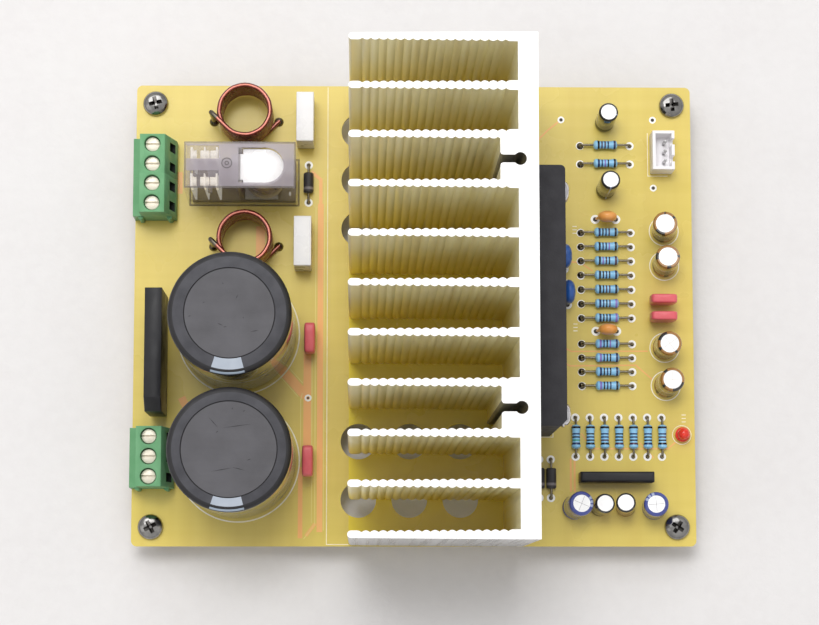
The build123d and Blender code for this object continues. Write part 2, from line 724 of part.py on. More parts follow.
def relay_moving_springs():
    """The two moving blades with a contact on each face."""
    x = relay_x(BLADE_MOVING_FROM_END)
    low = BOARD_TOP + RELAY_BASE_H + ARMATURE_GAP
    blades = []
    for side in (1, -1):
        y = RELAY_CENTRE_Y + side * BLADE_ROW
        tip = contact_tip(x - CONTACT_THICK, x + CONTACT_THICK, y)
        blades.append(spring_blade(x, y, low, BLADE_THICK) + tip)
    return group(blades)


def relay_fixed_contacts():
    """The fixed blades, each one piece with its pin, and the other pins in the base."""
    moving = relay_x(BLADE_MOVING_FROM_END)
    closed = relay_x(BLADE_CLOSED_FROM_END)
    opened = relay_x(BLADE_OPEN_FROM_END)
    low = BOARD_TOP + RELAY_BASE_H
    pieces = []
    for side in (1, -1):
        y = RELAY_CENTRE_Y + side * BLADE_ROW
        near = moving + CONTACT_THICK + CONTACT_REST_GAP
        pieces.append(
            spring_blade(closed, y, low, PIN_THICK)
            + contact_tip(near, closed, y)
            + relay_pin(closed, y, RELAY_BASE_H)
        )
        pieces.append(
            spring_blade(opened, y, low, PIN_THICK)
            + contact_tip(opened, opened + PIN_THICK / 2 + CONTACT_STUB, y)
            + relay_pin(opened, y, RELAY_BASE_H)
        )
    used = (closed, opened)
    for x, y in relay_pin_places():
        if x not in used:
            pieces.append(relay_pin(x, y, RELAY_BASE_H))
    return group(pieces)


def pole_centres(block_centre, poles):
    """Y of each pole of a terminal block, from the +Y end."""
    first = block_centre + (poles - 1) * POLE_PITCH / 2
    return [first - index * POLE_PITCH for index in range(poles)]


def block_x(depth):
    """X of a terminal feature given its depth behind the wire face."""
    return LEFT_EDGE + depth


def screw_axis_x():
    """X of the clamp screws, on the middle of the block's top face."""
    return block_x(BLOCK_STEP + BLOCK_TOP_DEPTH / 2)


def terminal_block(block_centre, poles):
    """One terminal housing: chambers, wells, wire holes, windows, linking ribs and grooves."""
    half = poles * POLE_PITCH / 2
    y0, y1 = block_centre - half, block_centre + half
    back_top = BLOCK_STEP + BLOCK_TOP_DEPTH
    outline = [
        (0, 0),
        (0, BLOCK_STEP_H),
        (BLOCK_STEP, BLOCK_STEP_H),
        (BLOCK_STEP, BLOCK_HEIGHT),
        (back_top, BLOCK_HEIGHT),
        (BLOCK_DEPTH, BLOCK_SLOPE_LOW),
        (BLOCK_DEPTH, 0),
    ]
    placed = [(block_x(depth), BOARD_TOP + height) for depth, height in outline]
    housing = slab_xz(placed, y0, y1)
    for y in pole_centres(block_centre, poles):
        housing -= pole_cuts(y)
    for depth in RIB_DEPTHS:
        x, top = block_x(depth), BOARD_TOP + RIB_TOP
        housing += rod(x, y0, BOARD_TOP, top, RIB_D)
        housing -= rod(x, y1, BOARD_TOP, top + RIB_GAP, RIB_D + 2 * RIB_GAP)
    return housing


def pole_cuts(y):
    """Everything that is hollow in one pole of a terminal housing."""
    half = POLE_PITCH / 2 - BLOCK_WALL
    front, back = block_x(BLOCK_FRONT_WALL), block_x(chamber_depth_end())
    chamber = block(front, back, y - half, y + half, BOARD_TOP, BOARD_TOP + CHAMBER_TOP)
    wire = WIRE_HOLE_W / 2
    low, high = BOARD_TOP + WIRE_HOLE_LOW, BOARD_TOP + WIRE_HOLE_TOP
    entry = block(block_x(0), front, y - wire, y + wire, low, high)
    window = WINDOW_W / 2
    low, high = BOARD_TOP + WINDOW_LOW, BOARD_TOP + WINDOW_TOP
    peep = block(back, block_x(BLOCK_DEPTH), y - window, y + window, low, high)
    x = screw_axis_x()
    ledge = BOARD_TOP + CHAMBER_TOP + ROOF_THICK
    well = rod(x, y, ledge, BOARD_TOP + BLOCK_HEIGHT, CLAMP_SCREW_D + 2 * CLAMP_GAP)
    shank = rod(x, y, BOARD_TOP + CHAMBER_TOP, ledge, CLAMP_THREAD_D + CLAMP_GAP)
    return chamber + entry + peep + well + shank


def chamber_depth_end():
    """Depth of the chamber's back wall, kept inside the sloped back at the chamber's top."""
    slope = (BLOCK_DEPTH - BLOCK_STEP - BLOCK_TOP_DEPTH) / (BLOCK_HEIGHT - BLOCK_SLOPE_LOW)
    return BLOCK_DEPTH - (CHAMBER_TOP - BLOCK_SLOPE_LOW) * slope - BLOCK_BACK_WALL


def clamp_screw(y):
    """One slotted clamp screw, resting on the ledge of its well."""
    x = screw_axis_x()
    ledge = BOARD_TOP + CHAMBER_TOP + ROOF_THICK
    top = ledge + CLAMP_SCREW_HEAD_H
    tip = BOARD_TOP + WIRE_HOLE_TOP + TONGUE_THICK + CLAMP_GAP
    screw = rod(x, y, ledge, top, CLAMP_SCREW_D) + rod(x, y, tip, ledge, CLAMP_THREAD_D)
    slot = Box(CLAMP_SCREW_D + OVERLAP, CLAMP_SCREW_SLOT, CLAMP_SCREW_SLOT_DEPTH)
    return screw - Pos(x, y, top - CLAMP_SCREW_SLOT_DEPTH / 2) * slot


def clamp_cage(y):
    """One clamp cage, a frame round the wire space whose threaded top rides the screw."""
    x = screw_axis_x()
    half_y = POLE_PITCH / 2 - BLOCK_WALL - CLAMP_GAP
    x0, x1 = x - CAGE_DEPTH / 2, x + CAGE_DEPTH / 2
    floor_top = BOARD_TOP + WIRE_HOLE_LOW
    plate_low = BOARD_TOP + CAGE_PLATE_LOW
    cage = block(x0, x1, y - half_y, y + half_y, floor_top - CAGE_BAR_THICK, plate_low + CAGE_TOP_THICK)
    inner = half_y - CAGE_SIDE
    cage -= block(x0, x1, y - inner, y + inner, floor_top, plate_low)
    return cage - rod(x, y, plate_low, plate_low + CAGE_TOP_THICK, CLAMP_THREAD_D + 2 * THREAD_GAP)


def terminal_pins():
    """The fixed tongues, each one piece with the pin behind its cage."""
    x = screw_axis_x()
    inner = POLE_PITCH / 2 - BLOCK_WALL - CLAMP_GAP - CAGE_SIDE
    half_y = inner - CLAMP_GAP
    low = BOARD_TOP + WIRE_HOLE_TOP
    back = x + CAGE_DEPTH / 2 + CLAMP_GAP
    pins = []
    for y in all_poles():
        end = back + TONGUE_THICK
        tongue = block(x - CAGE_DEPTH / 2, end, y - half_y, y + half_y, low, low + TONGUE_THICK)
        leg = block(back, end, y - half_y, y + half_y, BOARD_TOP, low)
        pins.append(tongue + leg)
    return group(pins)


def speaker_block_centres():
    """Y of the two speaker blocks, which stand side by side."""
    shift = SPEAKER_POLES * POLE_PITCH / 2
    return SPEAKER_CENTRE_Y + shift, SPEAKER_CENTRE_Y - shift


def all_poles():
    """Y of all seven poles, from the +Y end."""
    poles = []
    for centre in speaker_block_centres():
        poles += pole_centres(centre, SPEAKER_POLES)
    return poles + pole_centres(SUPPLY_CENTRE_Y, SUPPLY_POLES)


def filter_capacitor(x, y):
    """A large can with a bevelled rim and a sunk top disc."""
    top = BOARD_TOP + CAN_HEIGHT
    can = rod(x, y, BOARD_TOP, top, CAN_D)
    can = chamfer(can.edges().sort_by(Axis.Z)[-1], CAN_BEVEL)
    return can - rod(x, y, top - CAN_RECESS_DEPTH, top, CAN_RECESS_D)


def bridge_rectifier():
    """A flat moulded bridge that stands on its pins, one upper corner cut off."""
    x, y = BRIDGE_X, BRIDGE_CENTRE_Y
    half = BRIDGE_LENGTH / 2
    low = BOARD_TOP + BRIDGE_LIFT
    high = low + BRIDGE_HEIGHT
    outline = [
        (y - half, low),
        (y + half, low),
        (y + half, high),
        (y - half + BRIDGE_BEVEL, high),
        (y - half, high - BRIDGE_BEVEL),
    ]
    return slab_yz(outline, x - BRIDGE_THICK / 2, x + BRIDGE_THICK / 2)


def output_coil(x, y):
    """An air-core coil, its wound wall shown as one many-sided ridge for each turn."""
    outer = COIL_D / 2
    inner = outer - COIL_WIRE_D
    low = BOARD_TOP + COIL_LIFT
    valley = outer - COIL_WIRE_D / 4
    levels = [RegularPolygon(valley, COIL_SIDES)]
    for turn in range(COIL_TURNS):
        levels.append(Pos(0, 0, (turn + 0.5) * COIL_WIRE_D) * RegularPolygon(outer, COIL_SIDES))
        levels.append(Pos(0, 0, (turn + 1) * COIL_WIRE_D) * RegularPolygon(valley, COIL_SIDES))
    bore = extrude(RegularPolygon(inner, COIL_SIDES), amount=COIL_TURNS * COIL_WIRE_D)
    coil = Pos(x, y, low) * (loft(levels, ruled=True) - bore)
    for side in (1, -1):
        foot = x + side * (outer + COIL_LEAD_REACH)
        x0, x1 = min(foot, x + side * inner), max(foot, x + side * inner)
        half = COIL_WIRE_D / 2
        coil += block(x0, x1, y - half, y + half, low, low + COIL_WIRE_D)
        coil += rod(foot, y, BOARD_TOP, low + COIL_WIRE_D, COIL_WIRE_D)
    return coil


def box_capacitor(x, y, length, width, height):
    """A moulded box capacitor standing on the board."""
    return block(x - length / 2, x + length / 2, y - width / 2, y + width / 2, BOARD_TOP, BOARD_TOP + height)


def film_capacitor(x, y, length, width, height):
    """A dipped film capacitor with softened upright corners and crown, and two short legs."""
    low = BOARD_TOP + FILM_LIFT
    body = block(x - length / 2, x + length / 2, y - width / 2, y + width / 2, low, low + height)
    body = chamfer(body.edges().filter_by(Axis.Z), FILM_EDGE)
    body = chamfer(body.faces().sort_by(Axis.Z)[-1].edges(), FILM_EDGE / 2)
    along_x = length > width
    half = LEAD_SIZE / 2
    for side in (1, -1):
        reach = side * (max(length, width) / 2 - 2 * FILM_EDGE)
        leg_x = x + (reach if along_x else 0)
        leg_y = y + (0 if along_x else reach)
        body += block(leg_x - half, leg_x + half, leg_y - half, leg_y + half, BOARD_TOP, low)
    return body


def red_capacitors_left():
    """The two film capacitors beside the filter capacitors."""
    return group([film_capacitor(LEFT_EDGE + x, y, *RED_LEFT_SIZE) for x, y in RED_FROM_LEFT])


def red_capacitors_right():
    """The two film capacitors among the small parts."""
    return group([film_capacitor(RIGHT_EDGE - x, y, *RED_RIGHT_SIZE) for x, y in RED_FROM_RIGHT])


def small_can(x, y, diameter, lean, towards):
    """A small electrolytic capacitor on the board; one that leans stands on its lower edge."""
    can = rod(0, 0, 0, SMALL_CAN_H, diameter)
    can = chamfer(can.edges().sort_by(Axis.Z)[-1], SMALL_CAN_EDGE)
    lift = diameter / 2 * sin(radians(lean))
    return Pos(x, y, BOARD_TOP + lift) * Rot(0, 0, towards) * Rot(0, lean, 0) * can


def small_cans(places, diameter):
    """All the capacitors of one sort, with places from the board's right edge."""
    return group([small_can(RIGHT_EDGE - x, y, diameter, *lean) for x, y, *lean in places])


def resistor_places():
    """Centre x, centre y, lead span and whether it lies along X, for every resistor."""
    places = []
    for first, pitch, count in zip(ROWS_FIRST_Y, ROWS_PITCH, ROWS_COUNT):
        for index in range(count):
            places.append((RESISTOR_X, first - index * pitch, RESISTOR_SPAN, True))
    for index in range(COLUMN_COUNT):
        x = RIGHT_EDGE - COLUMN_FROM_RIGHT + index * COLUMN_PITCH
        places.append((x, COLUMN_Y, RESISTOR_SPAN_SHORT, False))
    return places


def lying(shape, x, y, z, along_x):
    """Put a shape made along X at a place, turned along Y where asked."""
    return Pos(x, y, z) * Rot(0, 0, 0 if along_x else 90) * shape


def resistor_bodies():
    """All resistor bodies, as light many-sided prisms."""
    section = RegularPolygon(RESISTOR_D / 2, RESISTOR_SIDES)
    body = Rot(0, 90, 0) * extrude(section, amount=RESISTOR_LENGTH / 2, both=True)
    z = BOARD_TOP + RESISTOR_FLOAT + RESISTOR_D / 2
    return group([lying(body, x, y, z, along_x) for x, y, _, along_x in resistor_places()])


def diode_places():
    """Centre x and centre y of every diode."""
    x, y = DIODE_FROM_LEFT
    return [(LEFT_EDGE + x, y)] + [(RIGHT_EDGE - x, y) for x, y in DIODES_FROM_RIGHT]


def diode_bodies():
    """The small axial diodes, which lie along Y."""
    body = Rot(0, 90, 0) * Cylinder(DIODE_D / 2, DIODE_LENGTH)
    z = BOARD_TOP + RESISTOR_FLOAT + DIODE_D / 2
    return group([lying(body, x, y, z, False) for x, y in diode_places()])


def bent_lead(inner, outer, height, side):
    """A square wire from a body's end out to its pad and down to the board."""
    half = LEAD_SIZE / 2
    reach = outer + half
    run = block(inner, reach, -half, half, height - half, height + half)
    drop = block(outer - half, reach, -half, half, 0, height)
    lead = run + drop
    return lead if side > 0 else Rot(0, 0, 180) * lead


def axial_leads(x, y, span, body_length, height, along_x):
    """The two leads of a lying part."""
    leads = [bent_lead(body_length / 2, span / 2, height, side) for side in (1, -1)]
    return [lying(lead, x, y, BOARD_TOP, along_x) for lead in leads]


def straight_lead(x, y, top):
    """A short upright lead."""
    half = LEAD_SIZE / 2
    return block(x - half, x + half, y - half, y + half, BOARD_TOP, BOARD_TOP + top)


def component_leads():
    """The leads of the lying parts and of those that stand clear of the board."""
    leads = []
    height = RESISTOR_FLOAT + RESISTOR_D / 2
    for x, y, span, along_x in resistor_places():
        leads += axial_leads(x, y, span, RESISTOR_LENGTH, height, along_x)
    height = RESISTOR_FLOAT + DIODE_D / 2
    for x, y in diode_places():
        leads += axial_leads(x, y, DIODE_SPAN, DIODE_LENGTH, height, False)
    for index in range(ROW_CHIP_PINS):
        offset = (index - (ROW_CHIP_PINS - 1) / 2) * ROW_CHIP_PITCH
        leads.append(straight_lead(ROW_CHIP_X + offset, ROW_CHIP_Y, ROW_CHIP_LIFT))
    for side in (1, -1):
        leads.append(straight_lead(LAMP_X + side * LAMP_D / 3, LAMP_Y, LAMP_LIFT))
    for index in range(BRIDGE_PIN_COUNT):
        offset = (index - (BRIDGE_PIN_COUNT - 1) / 2) * BRIDGE_PIN_PITCH
        x, y = BRIDGE_X, BRIDGE_CENTRE_Y + offset
        half_x, half_y = LEAD_SIZE / 2, BRIDGE_PIN_W / 2
        top = BOARD_TOP + BRIDGE_LIFT
        leads.append(block(x - half_x, x + half_x, y - half_y, y + half_y, BOARD_TOP, top))
    return group(leads)


def disc_capacitor(x, y, diameter, thick, along_x):
    """A dipped disc standing on two legs that run up into its coating."""
    disc = extrude(RegularPolygon(diameter / 2, DISC_SIDES), amount=thick / 2, both=True)
    rims = disc.faces().filter_by(Axis.Z).edges()
    disc = Rot(90, 0, 0) * chamfer(rims, DISC_EDGE)
    disc = Pos(0, 0, DISC_LIFT + diameter / 2) * disc
    half = LEAD_SIZE / 2
    for side in (1, -1):
        leg = side * DISC_LEAD_PITCH / 2
        inner = side * (DISC_LEAD_PITCH / 2 - DISC_LEG_RUN)
        disc += block(leg - half, leg + half, -half, half, 0, DISC_LIFT)
        x0, x1 = min(leg, inner) - half, max(leg, inner) + half
        disc += block(x0, x1, -half, half, DISC_LIFT - LEAD_SIZE, DISC_LIFT + 2 * LEAD_SIZE)
    return lying(disc, x, y, BOARD_TOP, along_x)


def orange_disc_capacitors():
    """The two orange discs, which stand across the board."""
    size = (ORANGE_DISC_D, ORANGE_DISC_THICK)
    return group([disc_capacitor(RIGHT_EDGE - x, y, *size, True) for x, y in ORANGE_DISCS])


def blue_disc_capacitors():
    """The two blue discs beside the module, which stand along it."""
    size = (BLUE_DISC_D, BLUE_DISC_THICK)
    return group([disc_capacitor(RIGHT_EDGE - x, y, *size, False) for x, y in BLUE_DISCS])


def row_circuit():
    """The single-row protection circuit, standing on its pins."""
    x, y = ROW_CHIP_X, ROW_CHIP_Y
    low = BOARD_TOP + ROW_CHIP_LIFT
    x0, x1 = x - ROW_CHIP_LENGTH / 2, x + ROW_CHIP_LENGTH / 2
    y0, y1 = y - ROW_CHIP_THICK / 2, y + ROW_CHIP_THICK / 2
    body = block(x0, x1, y0, y1, low, low + ROW_CHIP_HEIGHT)
    return chamfer(body.faces().sort_by(Axis.Z)[-1].edges(), ROW_CHIP_THICK / 6)


def indicator_lamp():
    """A 3 mm lamp: flange, barrel and domed lens."""
    x, y = LAMP_X, LAMP_Y
    low = BOARD_TOP + LAMP_LIFT
    dome = low + LAMP_HEIGHT - LAMP_D / 2
    lamp = rod(x, y, low, low + LAMP_FLANGE_H, LAMP_FLANGE_D) + rod(x, y, low, dome, LAMP_D)
    return lamp + Pos(x, y, dome) * Sphere(LAMP_D / 2, arc_size1=0)


def signal_connector():
    """The open-topped pin header housing with its two latch notches."""
    x, y = SOCKET_X, SOCKET_Y
    half_x, half_y = SOCKET_WIDTH / 2, SOCKET_LENGTH / 2
    top = BOARD_TOP + SOCKET_HEIGHT
    shell = block(x - half_x, x + half_x, y - half_y, y + half_y, BOARD_TOP, top)
    in_x, in_y = half_x - SOCKET_WALL, half_y - SOCKET_WALL
    floor = BOARD_TOP + SOCKET_FLOOR
    shell -= block(x - in_x, x + in_x, y - in_y, y + in_y, floor, top)
    notch = SOCKET_NOTCH_W / 2
    for side in (1, -1):
        notch_y = y + side * SOCKET_NOTCH_FROM_MIDDLE
        low_y, high_y = notch_y - notch, notch_y + notch
        shell -= block(x + in_x, x + half_x, low_y, high_y, floor + SOCKET_FLOOR, top)
    for pin_y in socket_pin_rows():
        shell -= socket_pin(pin_y)
    return shell


def socket_pin_rows():
    """Y of each pin in the signal connector."""
    first = SOCKET_Y + (SOCKET_PINS - 1) * SOCKET_PITCH / 2
    return [first - index * SOCKET_PITCH for index in range(SOCKET_PINS)]


def socket_pin(y):
    """One square pin of the signal connector, nearer to the notched wall."""
    x, half = SOCKET_X + SOCKET_PIN_SHIFT, SOCKET_PIN_SIZE / 2
    return block(x - half, x + half, y - half, y + half, BOARD_TOP, BOARD_TOP + SOCKET_PIN_TOP)


def build_nodes():
    """Every node of the part, by name."""
    nodes = {
        "circuit_board": circuit_board(),
        "standoffs": standoffs(),
        "board_screws": board_screws(),
        "heatsink": heatsink(),
        "heatsink_screws": heatsink_screws(),
        "module_case": module_case(),
        "module_plate": module_plate(),
        "module_pins": module_pins(),
        "module_screws": module_screws(),
        "module_washers": module_washers(),
        "relay_base": relay_base(),
        "relay_cover": relay_cover(),
        "relay_bobbin": relay_bobbin(),
        "relay_winding": relay_winding(),
        "relay_yoke": relay_yoke(),
        "relay_armature": relay_armature(),
        "relay_card": relay_card(),
        "relay_moving_springs": relay_moving_springs(),
        "relay_fixed_contacts": relay_fixed_contacts(),
        "supply_terminal": terminal_block(SUPPLY_CENTRE_Y, SUPPLY_POLES),
        "terminal_pins": terminal_pins(),
        "bridge_rectifier": bridge_rectifier(),
        "red_capacitors_left": red_capacitors_left(),
        "red_capacitors_right": red_capacitors_right(),
        "black_electrolytics": small_cans(BLACK_CANS, SMALL_CAN_D),
        "gold_electrolytics": small_cans(GOLD_CANS, LARGE_CAN_D),
        "brown_electrolytics": small_cans(BROWN_CANS, SMALL_CAN_D),
        "blue_electrolytics": small_cans(BLUE_CANS, LARGE_CAN_D),
        "resistor_bodies": resistor_bodies(),
        "diode_bodies": diode_bodies(),
        "component_leads": component_leads(),
        "orange_disc_capacitors": orange_disc_capacitors(),
        "blue_disc_capacitors": blue_disc_capacitors(),
        "row_circuit": row_circuit(),
        "indicator_lamp": indicator_lamp(),
        "signal_connector": signal_connector(),
        "signal_pins": group([socket_pin(y) for y in socket_pin_rows()]),
    }
    for number, centre in enumerate(speaker_block_centres(), start=1):
        nodes[f"speaker_terminal_{number}"] = terminal_block(centre, SPEAKER_POLES)
    for number, y in enumerate(all_poles(), start=1):
        nodes[f"clamp_screw_{number}"] = clamp_screw(y)
        nodes[f"clamp_cage_{number}"] = clamp_cage(y)
    for number, (x, y) in enumerate(CAN_CENTRES, start=1):
        nodes[f"filter_capacitor_{number}"] = filter_capacitor(LEFT_EDGE + x, y)
    for number, (x, y) in enumerate(COIL_CENTRES, start=1):
        nodes[f"output_coil_{number}"] = output_coil(LEFT_EDGE + x, y)
    for number, (x, y) in enumerate(WHITE_FROM_LEFT, start=1):
        nodes[f"white_capacitor_{number}"] = box_capacitor(LEFT_EDGE + x, y, *WHITE_SIZE)
    return nodes


os.makedirs("parts", exist_ok=True)
for name, shape in build_nodes().items():
    export_step(shape, f"parts/{name}.step")
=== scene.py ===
import math
import random

import bmesh
import bpy
from mathutils import Matrix, Vector


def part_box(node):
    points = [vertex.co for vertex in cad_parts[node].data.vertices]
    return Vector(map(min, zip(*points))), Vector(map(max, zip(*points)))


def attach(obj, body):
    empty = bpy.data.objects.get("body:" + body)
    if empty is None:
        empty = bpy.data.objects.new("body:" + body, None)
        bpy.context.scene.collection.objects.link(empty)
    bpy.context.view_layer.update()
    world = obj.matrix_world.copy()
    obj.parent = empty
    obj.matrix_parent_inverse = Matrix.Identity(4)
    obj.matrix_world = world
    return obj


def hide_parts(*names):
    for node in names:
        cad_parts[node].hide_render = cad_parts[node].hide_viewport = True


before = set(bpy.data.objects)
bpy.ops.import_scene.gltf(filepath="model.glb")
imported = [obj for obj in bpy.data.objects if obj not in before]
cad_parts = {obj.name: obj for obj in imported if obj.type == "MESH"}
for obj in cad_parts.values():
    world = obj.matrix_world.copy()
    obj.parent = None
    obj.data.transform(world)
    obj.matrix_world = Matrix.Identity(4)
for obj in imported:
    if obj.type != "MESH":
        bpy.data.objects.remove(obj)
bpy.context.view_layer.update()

# Sizes are in metres, or in millimetres where a name or a comment says so
MM = 0.001
BOARD_LOW_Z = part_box("circuit_board")[0][2]
BOARD_TOP_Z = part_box("circuit_board")[1][2]
PRINT_THICK = 0.03 * MM
TRACK_THICK = 0.012 * MM
SHARP_ANGLE = math.radians(38)

# The camera, above the board and a little towards -Y
CAMERA_X = -13.96 * MM
CAMERA_Y = -76.38 * MM
CAMERA_ABOVE_BOARD = 617.78 * MM
CAMERA_TURN_DEG = (7.078, -1.178, -0.0188)
CAMERA_LENS_MM = 104.8
CAMERA_SENSOR_MM = 36.0

# Leads, pads and solder
LEAD_R = 0.32 * MM
LEAD_BEND = 0.7 * MM
PAD_R = 1.08 * MM
PAD_HOLE_R = 0.5 * MM
# Where the armature's tail begins, which takes the painted shade of the hinge
ARMATURE_TAIL_X = -44.5 * MM
# Where the relay's cover is clearer: x, width, y and depth in millimetres, and the share of its veil
CLEAR_SPOTS = (
    (-58.4, 8.6, 29.2, 4.0, 0.36), (-58.4, 8.6, 36.2, 3.4, 0.4), (-44.9, 6.9, 30.1, 9.0, 0.2),
)
COVER_RIM = 0.9 * MM
JOINT_R = 1.15 * MM
JOINT_DEPTH = 1.1 * MM
STUB_R = 0.35 * MM
STUB_DEPTH = 1.5 * MM

random.seed(7)


def srgb(red, green, blue):
    """The linear colour of a screen colour given from 0 to 255."""
    channels = []
    for value in (red, green, blue):
        share = value / 255
        low = share <= 0.04045
        channels.append(share / 12.92 if low else ((share + 0.055) / 1.055) ** 2.4)
    return (*channels, 1.0)


class Paint:
    """A node material that starts from a plain shader and gains its detail step by step."""

    def __init__(self, name, color, roughness, metallic=0.0, **sockets):
        self.material = bpy.data.materials.new(name)
        self.material.use_nodes = True
        self.material.diffuse_color = color
        self.tree = self.material.node_tree
        self.shader = self.tree.nodes["Principled BSDF"]
        self.color = color
        self.bumped = None
        self.shader.inputs["Base Color"].default_value = color
        self.shader.inputs["Roughness"].default_value = roughness
        self.shader.inputs["Metallic"].default_value = metallic
        for key, value in sockets.items():
            self.shader.inputs[key.replace("_", " ").title().replace("Ior", "IOR")].default_value = value

    def node(self, kind, inputs=None, **settings):
        """A new node; each input is a number, a colour or another node's output."""
        node = self.tree.nodes.new(kind)
        for key, value in settings.items():
            setattr(node, key, value)
        for key, value in (inputs or {}).items():
            if isinstance(value, bpy.types.NodeSocket):
                self.tree.links.new(value, node.inputs[key])
            else:
                node.inputs[key].default_value = value
        return node

    def place(self, stretch):
        """The object's own coordinates, stretched along the axes."""
        spot = self.node("ShaderNodeTexCoord").outputs["Object"]
        return self.node("ShaderNodeMapping", {"Vector": spot, "Scale": stretch}).outputs["Vector"]

    def noise(self, scale, stretch=(1, 1, 1), detail=4.0):
        """Cloudy values, about 0.3 to 0.7."""
        inputs = {"Vector": self.place(stretch), "Scale": scale, "Detail": detail}
        return self.node("ShaderNodeTexNoise", inputs).outputs["Fac"]

    def span(self, value, low, high, start=0.35, end=0.65):
        """The value taken from one range to another, clamped."""
        inputs = {"Value": value, "From Min": start, "From Max": end, "To Min": low, "To Max": high}
        return self.node("ShaderNodeMapRange", inputs).outputs["Result"]

    def inside(self, ranges):
        """One where the object's own coordinates lie in all the given ranges: an axis, a low and a high."""
        spot = self.node("ShaderNodeTexCoord").outputs["Object"]
        parts = self.node("ShaderNodeSeparateXYZ", {"Vector": spot}).outputs
        result = None
        for axis, low, high in ranges:
            for limit, sort in ((low, "GREATER_THAN"), (high, "LESS_THAN")):
                test = self.node("ShaderNodeMath", {0: parts[axis], 1: limit}, operation=sort).outputs[0]
                if result is not None:
                    test = self.node("ShaderNodeMath", {0: result, 1: test}, operation="MULTIPLY").outputs[0]
                result = test
        return result

    def near(self, centre, radius):
        """One within a radius of a point."""
        spot = self.node("ShaderNodeTexCoord").outputs["Object"]
        reach = self.node("ShaderNodeVectorMath", {0: spot, 1: centre}, operation="DISTANCE").outputs["Value"]
        return self.node("ShaderNodeMath", {0: reach, 1: radius}, operation="LESS_THAN").outputs[0]

    def lower(self, floor, ceiling, most):
        """The given most at a low height and under it, fading to zero at a greater height."""
        spot = self.node("ShaderNodeTexCoord").outputs["Object"]
        height = self.node("ShaderNodeSeparateXYZ", {"Vector": spot}).outputs["Z"]
        return self.span(height, most, 0.0, floor, ceiling)

    def facing(self, axis, limit):
        """One where the surface faces along an axis, either way, by at least the given share."""
        normal = self.node("ShaderNodeNewGeometry").outputs["Normal"]
        part = self.node("ShaderNodeSeparateXYZ", {"Vector": normal}).outputs[axis]
        share = self.node("ShaderNodeMath", {0: part}, operation="ABSOLUTE").outputs[0]
        return self.node("ShaderNodeMath", {0: share, 1: limit}, operation="GREATER_THAN").outputs[0]

    def mix(self, amount, color):
        """Blend the base colour towards another."""
        mixer = self.node("ShaderNodeMix", {0: amount, 6: self.color, 7: color}, data_type="RGBA")
        self.color = mixer.outputs[2]
        self.tree.links.new(self.color, self.shader.inputs["Base Color"])
        return self

    def rough(self, value):
        """Drive the roughness from a value."""
        self.tree.links.new(value, self.shader.inputs["Roughness"])
        return self

    def veil(self, value):
        """Drive the opacity from a value."""
        self.tree.links.new(value, self.shader.inputs["Alpha"])
        return self

    def bump(self, height, distance, strength=1.0):
        """Small relief from a value, deep as given, in metres."""
        inputs = {"Height": height, "Distance": distance, "Strength": strength}
        if self.bumped:
            inputs["Normal"] = self.bumped
        self.bumped = self.node("ShaderNodeBump", inputs).outputs["Normal"]
        self.tree.links.new(self.bumped, self.shader.inputs["Normal"])
        return self

    def patchy(self, color, scale, amount, stretch=(1, 1, 1)):
        """Cloudy colour variation."""
        return self.mix(self.span(self.noise(scale, stretch), 0.0, amount), color)

    def scuffed(self, low, high, scale, stretch=(1, 1, 1)):
        """Cloudy gloss variation."""
        return self.rough(self.span(self.noise(scale, stretch), low, high))

    def grained(self, scale, distance, stretch=(1, 1, 1), strength=1.0):
        """Fine relief all over."""
        return self.bump(self.noise(scale, stretch), distance, strength)


def laminate_paint():
    """Yellow lacquer over glass weave, with a cloudy tone, faint threads both ways and painted shade of deeper
    yellow under the heatsink.
    """
    paint = Paint("laminate", srgb(213, 191, 88), 0.3, coat_weight=0.7, coat_roughness=0.24)
    paint.patchy(srgb(220, 201, 110), 14, 0.6)
    paint.patchy(srgb(206, 181, 70), 8, 0.45)
    paint.patchy(srgb(215, 183, 96), 30, 0.25)
    paint.patchy(srgb(228, 209, 106), 260, 0.3, (1, 0.03, 1))
    paint.patchy(srgb(198, 175, 66), 300, 0.25, (0.03, 1, 1))
    # Painted shade: the board under the heatsink's fins is mixed to a deeper yellow
    paint.mix(paint.inside([(0, -17 * MM, 23 * MM), (1, -58 * MM, 57 * MM)]), srgb(226, 204, 40))
    paint.scuffed(0.2, 0.34, 40)
    return paint.grained(900, 0.008 * MM).material


def track_paint():
    """Copper seen through the yellow lacquer."""
    paint = Paint("track_copper", srgb(240, 178, 104), 0.25, coat_weight=0.5, coat_roughness=0.14)
    paint.patchy(srgb(234, 164, 98), 60, 0.6)
    paint.patchy(srgb(243, 192, 122), 260, 0.4, (1, 0.05, 1))
    return paint.grained(900, 0.008 * MM).material


def gap_paint():
    """The pale line of bare laminate beside a track."""
    paint = Paint("track_gap", srgb(232, 218, 134), 0.3, coat_weight=0.4)
    return paint.patchy(srgb(208, 192, 112), 90, 0.6).material


def print_paint():
    """Cream printing ink, a little broken at its edges."""
    paint = Paint("print_ink", srgb(250, 246, 228), 0.6)
    paint.patchy(srgb(236, 224, 178), 700, 0.6)
    return paint.grained(2500, 0.01 * MM).material


def tin_paint(name, low, high, color, dark=srgb(150, 148, 144)):
    """Tinned metal or solder, with a cloudy shine."""
    paint = Paint(name, color, 0.3, 1.0)
    paint.patchy(dark, 500, 0.4)
    paint.scuffed(low, high, 600)
    return paint.grained(1200, 0.02 * MM).material


def skin_paint():
    """The extrusion's outer faces: bright aluminium with drawn lines up the walls."""
    paint = Paint("extruded_aluminium", srgb(214, 214, 214), 0.3, 1.0)
    drawn = paint.noise(900, (1, 1, 0.012), 6.0)
    paint.patchy(srgb(184, 184, 182), 500, 0.6, (1, 1, 0.01))
    paint.rough(paint.span(drawn, 0.22, 0.42))
    return paint.bump(drawn, 0.03 * MM, 0.6).material


